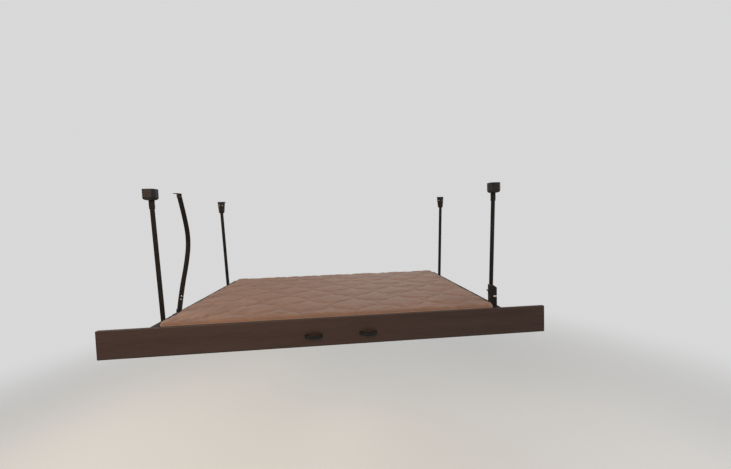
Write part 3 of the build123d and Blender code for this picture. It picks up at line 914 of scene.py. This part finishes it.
# %% Border, bottom and attributes
MATTRESS_BOTTOM = float(mattress_low[2])
TAPE_LOW = MATTRESS_BOTTOM + 0.006
PLUMP, PULLED_IN = 0.0012, 0.0035
RING_STEP = 0.009
share = np.array([0.06, 0.14, 0.26, 0.40, 0.55, 0.70, 0.82, 0.92, 1.0])[:, None]
gather = 1 + 0.35 * np.sin(47 * along_rim) * np.sin(31 * along_rim + 1)
bulge = PLUMP - PULLED_IN * (1 - np.sin(np.pi * share) ** 0.5) * gather[None, :]
border_z = rim_points[:, 2][None, :] * (1 - share) + TAPE_LOW * share
border_xy = rim_points[None, :, :2] + bulge[..., None] * rim_out[None]
border = np.concatenate([border_xy, border_z[..., None]], -1)
hem_inset = np.array([0.003, 0.010])[:, None, None]
hem_xy = rim_points[None, :, :2] - hem_inset * rim_out[None]
hem_levels = np.array([TAPE_LOW - 0.003, MATTRESS_BOTTOM])[:, None, None]
hem_z = np.broadcast_to(hem_levels, hem_xy.shape[:2] + (1,))
rings = np.concatenate([border, np.concatenate([hem_xy, hem_z], -1)])
ring_count = len(rings)

first = rows * columns
loop = len(rim_loop)
points = np.concatenate([top_points.reshape(-1, 3), rings.reshape(-1, 3)])
faces = triangles.tolist()
down_from_rim = np.stack([rim_loop, np.roll(rim_loop, -1)], -1)
ring_start = first + np.arange(loop)
first_ring = [down_from_rim[:, 1], down_from_rim[:, 0], ring_start, np.roll(ring_start, -1)]
faces += np.stack(first_ring, -1).tolist()
faces += grid_faces(ring_count, loop, first=first).tolist()
faces.append((first + (ring_count - 1) * loop + np.arange(loop)).tolist())

drop = RING_STEP * np.arange(1, ring_count + 1)[:, None]
border_uv = uv_grid(along_rim[None, :], -1 - drop)
panel_uv = np.stack([flat_x, flat_y], -1).reshape(-1, 2)
mattress_uv = np.concatenate([panel_uv, border_uv])
mattress = new_piece("quilted_mattress", (points, faces), "mattress", None, smooth=60, uv=mattress_uv)
plain = np.full(ring_count * loop, 0.5)
for name, phases in zip(("seam_a", "seam_b"), phase_grid):
    attribute = mattress.data.attributes.new(name, "FLOAT", "POINT")
    attribute.data.foreach_set("value", np.concatenate([phases.ravel(), plain]).astype(np.float32))
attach(mattress, "bunk")
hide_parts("mattress")
print("mattress", len(mattress.data.polygons), "faces")


# %% Taped edges
TAPE_OUTLINE = round_outline(0.005, 0.008, 0.0022)
TAPE_HIGH = float(rim_points[:, 2].mean())


def rim_tape(name, z, outset):
    """A binding of 8 by 5 mm swept along the rim, this far outside it."""
    path = np.concatenate([rim_points[:, :2] + outset * rim_out, np.full((loop, 1), z)], -1)
    sides = np.concatenate([rim_out, np.zeros((loop, 1))], -1)
    shell = swept(path, sides, TAPE_OUTLINE, closed=True)
    uv = uv_grid(along_rim[:, None], TAPE_OUTLINE[None, :, 1])
    new_piece(name, shell, "tape", "bunk", smooth=50, uv=uv)


rim_tape("mattress_tape_upper", TAPE_HIGH - 0.001, 0.0008)
rim_tape("mattress_tape_lower", TAPE_LOW + 0.001, -0.0022)
print("tapes at", round(TAPE_HIGH, 4), "and", round(TAPE_LOW, 4))

# %% [markdown]
# Dressing the CAD pieces
#
# A solid whose shape is already right only needs its finish. Its mesh stays as it is, and
# the finish goes into its material slots. The pieces made of webbing get no finish here,
# because woven straps replace all of them further on.


# %% Finishes of the CAD pieces
def dress(finish, *nodes):
    """Puts a finish into every material slot of these CAD nodes."""
    for node in nodes:
        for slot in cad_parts[node].material_slots:
            slot.material = finishes[finish].material


SIDES = {"left": -1, "right": 1}
ENDS = {"near": -1, "far": 1}
CORNERS = [(end, side) for end in ENDS for side in SIDES]
dress("board", "face_board")
dress("pull", "pull_left", "pull_right")
dress("plywood", "deck_panel")
dress("frame", "side_rail_left", "side_rail_right", "rear_rail")
dress("tube", "front_rail", "cross_bar_1", "cross_bar_2", "cross_bar_3")
dress("lining", "belly_panel")
dress("steel", "board_angle_left", "board_angle_right", "roller_pin_left", "roller_pin_right", "drive_shaft")
dress("casting", "gearbox", "belt_drum_left", "belt_drum_right")
dress("plastic", "lift_motor", "switch_box", "belt_cover_left", "belt_cover_right")
dress("clip", "box_clip")
dress("nylon", "corner_roller_left", "corner_roller_right")
dress("bracket", "strap_plate", "strap_tab")
dress("bracket", *[f"ceiling_bracket_{end}_{side}" for end, side in CORNERS])
dress("bracket", *[f"belt_clamp_{end}_{side}" for end, side in CORNERS])
print("dressed", sum(len(o.material_slots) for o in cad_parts.values()), "slots")

# %% [markdown]
# Lift belts
#
# Each belt is one strap: clamped behind its ceiling bracket, down to the rail, round a
# corner roller at the near end, along the rail and onto a drum. It is made in four lengths,
# because they move in different ways. The clamped end stays in its bracket and the run in the
# rail rides with the bunk. The free length between them gets shorter as the bunk climbs.

# %% Places of the belts
BELT_WIDTH, BELT_THICK = 0.026, 0.002
BELT_Y, BELT_TOP_X = 0.465, 0.989
CLAMPED_TOP, CLAMPED_END, BELT_FOOT = -0.012, -0.085, -0.760
RUN_START = BELT_FOOT - 0.0004
SHAFT_Y, SHAFT_Z = 0.4903, -0.853
BELT_OUTLINE = round_outline(BELT_WIDTH, BELT_THICK, 0.0008, 2)


def arc_length(path):
    """Distance along a path, from 0 at its first point."""
    return np.concatenate([[0], np.cumsum(np.linalg.norm(np.diff(path, axis=0), axis=1))])


def strap_piece(name, path, body, outline, replaced=None):
    """A strap along a path that lies flat across X, with its UV in metres."""
    shell = swept(path, (1, 0, 0), outline)
    uv = uv_grid(outline[None, :, 0], arc_length(path)[:, None])
    piece = new_piece(name, shell, "webbing", body, smooth=40, uv=uv)
    if replaced:
        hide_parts(replaced)
    return piece


def straight(start, end, step=0.008):
    """Points of a straight run, about one step apart."""
    start, end = np.array(start, float), np.array(end, float)
    count = max(2, int(np.linalg.norm(end - start) / step) + 1)
    return start + (end - start) * np.linspace(0, 1, count)[:, None]


# %% Free lengths and clamped ends
for end, side in CORNERS:
    y, top_x, foot_x = ENDS[end] * BELT_Y, SIDES[side] * BELT_TOP_X, SIDES[side] * BELT_X
    free = straight((top_x, y, CLAMPED_END), (foot_x, y, BELT_FOOT))
    lift_belt = f"lift_belt_{end}_{side}"
    free_length = strap_piece(f"belt_{end}_{side}", free, "mounting", BELT_OUTLINE, lift_belt)
    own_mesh(free_length)
    clamped = straight((top_x, y, CLAMPED_TOP), (top_x, y, CLAMPED_END), 0.004)
    strap_piece(f"belt_clamped_{end}_{side}", clamped, "mounting", BELT_OUTLINE, f"belt_end_{end}_{side}")

# %% [markdown]
# Runs in the rails and turns on the drums
#
# In the rail the near belt bends round its roller, which is a quarter circle between two
# straight runs. On the drum the belt lies in two layers. The radius here isn't a true
# spiral: it stays level for most of a turn and steps up one thickness over a sixth of a
# turn, as a wound strap does where it climbs over its own end.


# %% Runs in the rails
def near_run(x):
    """Down from the foot, a quarter circle round the roller, then along the rail to the drum."""
    bend = np.linspace(0, np.pi / 2, 16)[1:-1, None]
    radius = ROLLER_Y + BELT_Y
    arc = np.array([0, ROLLER_Y, ROLLER_Z]) - radius * (np.cos(bend) * [0, 1, 0] + np.sin(bend) * [0, 0, 1])
    down = straight((0, -BELT_Y, RUN_START), (0, -BELT_Y, ROLLER_Z))
    level = straight((0, ROLLER_Y, ROLLER_Z - radius), (0, SHAFT_Y, ROLLER_Z - radius))
    return np.concatenate([down, arc, level]) + [x, 0, 0]


for side, sign in SIDES.items():
    strap_piece(f"belt_run_{side}", near_run(sign * BELT_X), "bunk", BELT_OUTLINE, f"belt_run_near_{side}")
    far_run = straight((sign * BELT_X, BELT_Y, RUN_START), (sign * BELT_X, BELT_Y, SHAFT_Z))
    strap_piece(f"belt_drop_{side}", far_run, "bunk", BELT_OUTLINE, f"belt_run_far_{side}")
print("near run", round(float(arc_length(near_run(0))[-1]), 3), "m")


# %% Turns on the drums
def wound(x, inner=0.0211, layer=0.0019):
    """Level at radius inner for 300 degrees, up by one layer over 60, and level again for 300."""
    angle = np.linspace(np.pi / 3, 4 * np.pi, 200)
    climb = np.clip((angle - 2 * np.pi) / (np.pi / 3), 0, 1)
    radius = inner + layer * climb**2 * (3 - 2 * climb)
    y, z = SHAFT_Y + radius * np.cos(angle), SHAFT_Z + radius * np.sin(angle)
    return np.stack([np.full(angle.shape, x), y, z], -1)


drum_outline = round_outline(BELT_WIDTH, 0.0018, 0.0007, 2)
for side, sign in SIDES.items():
    strap_piece(f"belt_turns_{side}", wound(sign * BELT_X), "drive_shaft", drum_outline, f"belt_wrap_{side}")
print("turns wound")

# %% [markdown]
# Slack strap
#
# A slack strap hangs in a lazy bow between its upper plate and a tab on the left rail.
# Its route has six points. A quadratic B-spline through their runs is the simplest curve
# that stays smooth: each middle point pulls the curve towards it, and the curve touches
# each run halfway.

# %% Route of the slack strap
STRAP_X, STRAP_WIDTH, STRAP_THICK = -0.970, 0.030, 0.002
route_mm = [(-220, -20), (-158, -186.1), (-141, -323.2), (-184, -460.4), (-256, -612), (-296, -742)]
route = np.array(route_mm) / 1000


def b_spline(points, steps=26):
    """Parts that run from one half-way point to the next: (1-t)^2 a + 2 t (1-t) b + t^2 c."""
    halfway = (points[1:-2] + points[2:-1]) / 2
    starts = np.concatenate([points[:1], halfway])
    ends = np.concatenate([halfway, points[-1:]])
    t = np.linspace(0, 1, steps, endpoint=False)[None, :, None]
    parts = (1 - t) ** 2 * starts[:, None] + 2 * t * (1 - t) * points[1:-1, None] + t * t * ends[:, None]
    return np.concatenate([parts.reshape(-1, 2), points[-1:]])


flat_line = b_spline(route)
ahead = unit(np.gradient(flat_line, axis=0))
flat_line = flat_line + np.stack([ahead[:, 1], -ahead[:, 0]], -1) * STRAP_THICK / 2
strap_path = np.insert(flat_line, 0, STRAP_X, axis=1)
strap_outline = round_outline(STRAP_WIDTH, STRAP_THICK, 0.0008, 2)
slack_strap = strap_piece("slack_webbing", strap_path, "mounting", strap_outline, "slack_strap")
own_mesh(slack_strap)

# %% [markdown]
# Sewing
#
# A belt end is folded and sewn through with a box and a cross. Each stitch is a small
# flattened spindle. All of them are placed by arrays: the box and its diagonals are cut into
# steps, and each step gets a place and a direction, first on flat cloth and then on the
# strap, by its distance across and along it.


# %% Stitches
def sewn_box(width, height, step=0.0044):
    """Middles and directions of stitches round a box and along both of its diagonals."""
    corner = np.array([[-1, -1], [1, -1], [1, 1], [-1, 1]]) * [width / 2, height / 2]
    starts, ends = corner[[0, 1, 2, 3, 0, 1]], corner[[1, 2, 3, 0, 2, 3]]
    middles, directions = [], []
    for start, end in zip(starts, ends):
        length = np.linalg.norm(end - start)
        count = int(length / step)
        share = (np.arange(count)[:, None] + 0.5) / count
        middles.append(start + share * (end - start))
        directions.append(np.repeat([(end - start) / length], count, axis=0))
    return np.concatenate(middles), np.concatenate(directions)


def stitch_shell(middles, aheads, outs, length=0.0034, radius=0.00042):
    """Spindles along their directions: four rings of six points, flattened to 0.6 outwards."""
    along = np.array([-0.5, -0.32, 0.32, 0.5])[:, None] * length
    size = np.array([0.35, 1, 1, 0.35])[:, None] * radius
    angle = np.arange(6)[None, :] * np.pi / 3
    over, lift, run = size * np.cos(angle), size * np.sin(angle) * 0.6, along + 0 * angle
    beside = np.cross(aheads, outs)
    grid = middles[:, None, None] + run[..., None] * aheads[:, None, None]
    grid = grid + over[..., None] * beside[:, None, None] + lift[..., None] * outs[:, None, None]
    return joined([closed_tube(one) for one in grid])


def sewn_on(path, distance, width, height, lift):
    """A sewn box centred at a distance along a path, lifted from the strap's middle."""
    middles, directions = sewn_box(width, height)
    lengths = arc_length(path)
    tangent = np.gradient(path, lengths, axis=0)
    at = distance + middles[:, 1]
    place = np.stack([np.interp(at, lengths, path[:, axis]) for axis in range(3)], -1)
    run = np.stack([np.interp(at, lengths, tangent[:, axis]) for axis in range(3)], -1)
    side = np.array([1.0, 0, 0])
    out = unit(np.cross(side, run)) * np.sign(lift)
    place = place + middles[:, :1] * side + out * abs(lift)
    ahead = directions[:, :1] * side + directions[:, 1:] * run
    return stitch_shell(place, unit(ahead), out)


def sewn_through(path, distance, width, height, lift):
    """The same sewn box on both faces of a strap."""
    return joined([sewn_on(path, distance, width, height, face * lift) for face in (-1, 1)])


print("one box takes", len(sewn_box(0.018, 0.03)[0]), "stitches")

# %% Sewn ends of the far belts and of the slack strap
THREAD_ABOVE = 0.0001
for side, sign in SIDES.items():
    top_x = sign * BELT_TOP_X
    clamped = straight((top_x, BELT_Y, CLAMPED_TOP), (top_x, BELT_Y, CLAMPED_END), 0.004)
    shell = sewn_on(clamped, 0.054, 0.018, 0.030, -BELT_THICK / 2 - THREAD_ABOVE)
    new_piece(f"belt_thread_far_{side}", shell, "thread", "mounting")
STRAP_LENGTH = float(arc_length(strap_path)[-1])
FROM_END = 0.040
for where, distance in (("top", FROM_END), ("foot", STRAP_LENGTH - FROM_END)):
    both_faces = sewn_through(strap_path, distance, 0.022, 0.024, STRAP_THICK / 2 + THREAD_ABOVE)
    strap_thread = new_piece(f"strap_thread_{where}", both_faces, "thread", "mounting")
    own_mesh(strap_thread)
print("ends sewn")

# %% [markdown]
# Sleeves under the near covers
#
# Where a near belt leaves its cover it is a little wider for a few centimetres. That is a
# sleeve of the same webbing that keeps the belt from rubbing on the slot's edge, and it is
# sewn with its own box and cross.

# %% Sleeves
SLEEVE_TOP, SLEEVE_END = -0.052, -0.108
SLEEVE_WIDTH, SLEEVE_THICK = 0.032, 0.004
SLEEVE_OUTLINE = round_outline(SLEEVE_WIDTH, SLEEVE_THICK, 0.0018, 3)
lean = (BELT_TOP_X - BELT_X) / (CLAMPED_END - BELT_FOOT)
for side, sign in SIDES.items():
    low_x = sign * (BELT_TOP_X - lean * (CLAMPED_END - SLEEVE_END))
    top_x = sign * BELT_TOP_X
    upper = straight((top_x, -BELT_Y, SLEEVE_TOP), (top_x, -BELT_Y, CLAMPED_END), 0.004)
    lower = straight((top_x, -BELT_Y, CLAMPED_END), (low_x, -BELT_Y, SLEEVE_END), 0.004)
    sleeve_path = np.concatenate([upper, lower[1:]])
    strap_piece(f"belt_sleeve_{side}", sleeve_path, "mounting", SLEEVE_OUTLINE)
    boxes = sewn_through(sleeve_path, 0.033, 0.024, 0.034, SLEEVE_THICK / 2 + THREAD_ABOVE)
    new_piece(f"sleeve_thread_{side}", boxes, "thread", "mounting")
print("sleeves from", SLEEVE_TOP, "to", SLEEVE_END)

# %% [markdown]
# Bolts, screws and rivets
#
# Every fastener is a turned profile: pairs of radius and height, and a third number that
# makes a ring round or six-sided. A hexagon bolt is a washer, a six-sided prism and a small
# chamfer. A pan head is a low dome with a six-sided socket sunk into it.


# %% Fastener profiles
def hexagon_bolt(size, washer=True):
    """Profile of a bolt head for a thread of this many metres across; a nut has no washer."""
    top, foot = (0.2 * size, 1.0 * size) if washer else (0.0, 0.9 * size)
    rows = [(foot, 0, 0), (foot * 1.01, 0.03 * size, 0)]
    rows += [(foot * 1.01, top, 0), (0.84 * size, top + 0.01 * size, 0)] if washer else []
    rows += [(0.93 * size, top + 0.03 * size, 1), (0.93 * size, top + 0.56 * size, 1)]
    rows += [(0.83 * size, top + 0.66 * size, 0.6), (0.78 * size, top + 0.67 * size, 0)]
    return rows + [(0.3 * size, top + 0.64 * size, 0)]


def pan_head(radius, height):
    """Profile of a low round head with a six-sided socket."""
    rows = [(radius, 0, 0), (radius, 0.3 * height, 0), (0.9 * radius, 0.72 * height, 0)]
    rows += [(0.62 * radius, 0.97 * height, 0), (0.5 * radius, height, 0)]
    rows += [(0.44 * radius, 0.98 * height, 1), (0.42 * radius, 0.4 * height, 1)]
    return rows + [(0.1 * radius, 0.38 * height, 0)]


def rivet_head(radius, height):
    """Profile of a domed rivet."""
    angle = np.linspace(0, np.pi / 2, 6)[:-1]
    dome = [(radius * np.cos(a), height * np.sin(a), 0) for a in angle]
    return [(radius, -0.0002, 0)] + dome + [(0.08 * radius, height, 0)]


print("profiles", len(hexagon_bolt(0.008)), len(pan_head(0.004, 0.002)), "rings")

# %% Bolts of the brackets and clamps
BOLT_HALF, BOLT_Y, PLATE_FACE = 0.022, 0.483, -0.004
CLAMP_HALF, CLAMP_FACE_Y, NUT_FACE_Y, CLAMP_Z = 0.0163, 0.460, 0.470, -0.032
COVER_FACE_Y, COVER_SCREW_Z = -0.501, -0.028


def pair(x, half, y, z):
    """Two places, half to the left and half to the right of x."""
    return [(x - half, y, z), (x + half, y, z)]


for end, side in CORNERS:
    middle_x, sign = SIDES[side] * BELT_TOP_X, ENDS[end]
    outwards, inwards = ("-y", "+y") if end == "near" else ("+y", "-y")
    bolts = turned(hexagon_bolt(0.008), pair(middle_x, BOLT_HALF, sign * BOLT_Y, PLATE_FACE), "-z")
    clamp_spots = pair(middle_x, CLAMP_HALF, sign * CLAMP_FACE_Y, CLAMP_Z)
    nut_spots = pair(middle_x, CLAMP_HALF, sign * NUT_FACE_Y, CLAMP_Z)
    clamping = turned(pan_head(0.0035, 0.0028), clamp_spots, inwards)
    nuts = turned(hexagon_bolt(0.0042, washer=False), nut_spots, outwards)
    new_piece(f"bracket_bolts_{end}_{side}", joined([bolts, clamping, nuts]), "zinc", "mounting")
for side, sign in SIDES.items():
    cover_spot = (sign * BELT_TOP_X, COVER_FACE_Y, COVER_SCREW_Z)
    screws = turned(pan_head(0.0032, 0.0016), [cover_spot], "-y")
    new_piece(f"cover_screw_{side}", screws, "bracket", "mounting")
print("bolts at", len(CORNERS), "brackets")

# %% Screws and rivets of the slack strap
STRAP_PLATE_Y, STRAP_PLATE_Z = (-0.2570, -0.2400), -0.003
STRAP_TAB_Y, STRAP_TAB_Z = (-0.3330, -0.3160), -0.743
RIVET_HEIGHTS, RIVET_ASIDE, RIVET_LIFT = (-0.6500, -0.6690), 0.003, -0.0012
anchor_screw = pan_head(0.0042, 0.0022)
plate_spots = [(STRAP_X, y, STRAP_PLATE_Z) for y in STRAP_PLATE_Y]
new_piece("strap_plate_screws", turned(anchor_screw, plate_spots, "-z"), "zinc", "mounting")
tab_spots = [(STRAP_X, y, STRAP_TAB_Z) for y in STRAP_TAB_Y]
new_piece("strap_tab_screws", turned(anchor_screw, tab_spots, "+z"), "zinc", "bunk")


def on_strap(height):
    """The strap's point at this height, moved off its face and a little aside."""
    upwards = strap_path[::-1]
    y = np.interp(height, upwards[:, 2], upwards[:, 1])
    return (STRAP_X + RIVET_ASIDE, y + RIVET_LIFT, height)


rivet_spots = [on_strap(height) for height in RIVET_HEIGHTS]
rivet_heads = turned(rivet_head(0.0048, 0.0018), rivet_spots, "-y")
rivets = new_piece("strap_rivets", rivet_heads, "zinc", "mounting")
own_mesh(rivets)
print("rivets at", [round(spot[2], 3) for spot in rivet_spots])

# %% Screws of the frame
BAR_Y = (-0.552, -0.2279, 0.0962, 0.4203)
BAR_Z, BELLY_BOTTOM, RAIL_IN, RAIL_OUT, BOARD_BACK = -0.856, -0.881, 0.945, 0.988, -0.572
ANGLE_THICK, ANGLE_X, ANGLE_Y = 0.003, 1.0065, -0.5520
ANGLE_HEIGHTS = (-0.785, -0.818, -0.851)
BAR_BOLT_HALF = 0.011
angle_screw = pan_head(0.0048, 0.0026)
for side, sign in SIDES.items():
    away = "+x" if sign > 0 else "-x"
    bolt_ys = [y + off for y in BAR_Y for off in (-BAR_BOLT_HALF, BAR_BOLT_HALF)]
    bar_spots = [(sign * RAIL_IN, y, BAR_Z) for y in bolt_ys]
    new_piece(f"bar_bolts_{side}", turned(hexagon_bolt(0.006), bar_spots, away), "zinc", "bunk")
    board_spots = [(sign * ANGLE_X, BOARD_BACK + ANGLE_THICK, z) for z in ANGLE_HEIGHTS]
    rail_spots = [(sign * (RAIL_OUT + ANGLE_THICK), ANGLE_Y, z) for z in ANGLE_HEIGHTS]
    angle_screws = [turned(angle_screw, board_spots, "+y"), turned(angle_screw, rail_spots, away)]
    new_piece(f"angle_screws_{side}", joined(angle_screws), "zinc", "bunk")
belly_spots = [(x, y, BELLY_BOTTOM) for x in np.linspace(-0.9, 0.9, 7) for y in BAR_Y]
new_piece("belly_screws", turned(pan_head(0.0055, 0.0022), belly_spots, "-z", corners=12), "zinc", "bunk")
print("frame screws", 2 * len(bar_spots) + 4 * len(ANGLE_HEIGHTS) + len(belly_spots))

# %% [markdown]
# Gear motor, shaft and slots
#
# The drive is plain machinery: a cast box with two bolted covers, a motor with a ring at
# each end of its case, and collars that keep the box in its place on the shaft. Flat parts are
# an outline carried over a short straight path, and round ones are turned. A moulded rim
# round each slot keeps the belts off the edge of the rail.

# %% Covers of the gearbox and collars of the shaft
GEARBOX_X, MOTOR_Z = (-0.642, -0.578), -0.861
COVER_THICK, COLLAR_GAP, CLIP_X = 0.0022, 0.0030, 0.9886
SCREW_OFF_Y, SCREW_OFF_Z = (-0.031, 0.031), (-0.0125, 0.0125)


def both_ways(profile, left_x, right_x, places, corners=24):
    """A profile turned outwards at the right, at each place (y, z), and again at the left."""
    right = turned(profile, [(right_x, y, z) for y, z in places], "+x", corners)
    left = turned(profile, [(left_x, y, z) for y, z in places], "-x", corners)
    return joined([right, left])


cover_faces = (GEARBOX_X[0] - COVER_THICK, GEARBOX_X[1] + COVER_THICK)
covers = []
for x, outer_x in zip(GEARBOX_X, cover_faces):
    plate_path = np.array([[x, SHAFT_Y, MOTOR_Z], [outer_x, SHAFT_Y, MOTOR_Z]])
    covers.append(swept(plate_path, (0, 1, 0), round_outline(0.074, 0.036, 0.007)))
new_piece("gearbox_covers", joined(covers), "casting", "bunk")
corner_spots = [(SHAFT_Y + y, MOTOR_Z + z) for y in SCREW_OFF_Y for z in SCREW_OFF_Z]
cover_screws = both_ways(pan_head(0.0036, 0.0022), *cover_faces, corner_spots)
new_piece("gearbox_screws", cover_screws, "zinc", "bunk")
collar = [(0.0100, 0, 0), (0.0148, 0, 0), (0.0155, 0.0007, 0), (0.0155, 0.0093, 0)]
collar += [(0.0148, 0.0100, 0), (0.0100, 0.0100, 0)]
clip = [(0.0100, 0, 0), (0.0130, 0, 0), (0.0130, 0.0012, 0), (0.0100, 0.0012, 0)]
on_axis = [(SHAFT_Y, SHAFT_Z)]
collars = both_ways(collar, GEARBOX_X[0] - COLLAR_GAP, GEARBOX_X[1] + COLLAR_GAP, on_axis, 40)
clips = both_ways(clip, -CLIP_X, CLIP_X, on_axis, 40)
new_piece("shaft_collars", joined([collars, clips]), "zinc", "drive_shaft")
print("collars and clips on the shaft")

# %% Rings of the motor and rims of the slots
MOTOR_X, MOTOR_END_Y, MOTOR_SCREW_HALF = -0.610, 0.628, 0.0125
BAND_Y = (0.536, 0.608)
band = [(0.0210, 0, 0), (0.0222, 0.0004, 0), (0.0222, 0.0046, 0), (0.0210, 0.0050, 0)]
bands = turned(band, [(MOTOR_X, y, MOTOR_Z) for y in BAND_Y], "+y", 48)
end_cap = [(0.0075, -0.0004, 0), (0.0075, 0.0022, 0), (0.0066, 0.0032, 0), (0.002, 0.0032, 0)]
cap = turned(end_cap, [(MOTOR_X, MOTOR_END_Y, MOTOR_Z)], "+y", 32)
new_piece("motor_rings", joined([bands, cap]), "casting", "bunk")
end_spots = pair(MOTOR_X, MOTOR_SCREW_HALF, MOTOR_END_Y, MOTOR_Z)
new_piece("motor_screws", turned(pan_head(0.0030, 0.0020), end_spots, "+y"), "zinc", "bunk")
RAIL_TOP, SLOT_HALF_X, SLOT_HALF_Y = -0.746, 0.0182, 0.0058
RIM_OUTLINE = round_outline(0.0026, 0.0016, 0.0007, 2)
slot_line = round_outline(2 * SLOT_HALF_X, 2 * SLOT_HALF_Y, 0.004, 5)
slot_line = np.insert(slot_line, 2, RAIL_TOP + 0.0001, axis=1)
for end, side in CORNERS:
    rim_path = slot_line + [SIDES[side] * BELT_X, ENDS[end] * BELT_Y, 0]
    rim_shell = swept(rim_path, (0, 0, 1), RIM_OUTLINE, closed=True)
    new_piece(f"belt_slot_rim_{end}_{side}", rim_shell, "bush", "bunk")
print("rims round", len(CORNERS), "slots")

# %% [markdown]
# Switch box
#
# The box stands before the near right belt. Besides its pale clip it has two screws and,
# at its upper left, a small bent lever. The lever is a flat strip swept along four points,
# with a roller on its tip.

# %% Screws and lever of the box
BOX_SIDE_X, BOX_Y, BOX_SCREW_Z = 0.985, -0.490, (-0.735, -0.665)
TIP_X, TIP_Z, TIP_WIDTH = 0.9302, -0.6520, 0.0070
box_spots = [(BOX_SIDE_X, BOX_Y, z) for z in BOX_SCREW_Z]
new_piece("box_screws", turned(pan_head(0.0030, 0.0016), box_spots, "+x"), "zinc", "bunk")
lever_x_z = [(0.9445, -0.6840), (0.9410, -0.6730), (0.9365, -0.6620), (0.9305, -0.6525)]
lever_line = np.array([(x, BOX_Y, z) for x, z in lever_x_z])
lever_shell = swept(lever_line, (0, 1, 0), round_outline(0.006, 0.0030, 0.0010, 2))
tip_profile = [(0.0026, 0, 0), (0.0034, 0.0006, 0), (0.0034, 0.0064, 0), (0.0026, TIP_WIDTH, 0)]
tip = turned(tip_profile, [(TIP_X, BOX_Y - TIP_WIDTH / 2, TIP_Z)], "+y")
new_piece("box_lever", joined([lever_shell, tip]), "bracket", "bunk")
print("lever tip at", lever_line[-1].round(3).tolist())
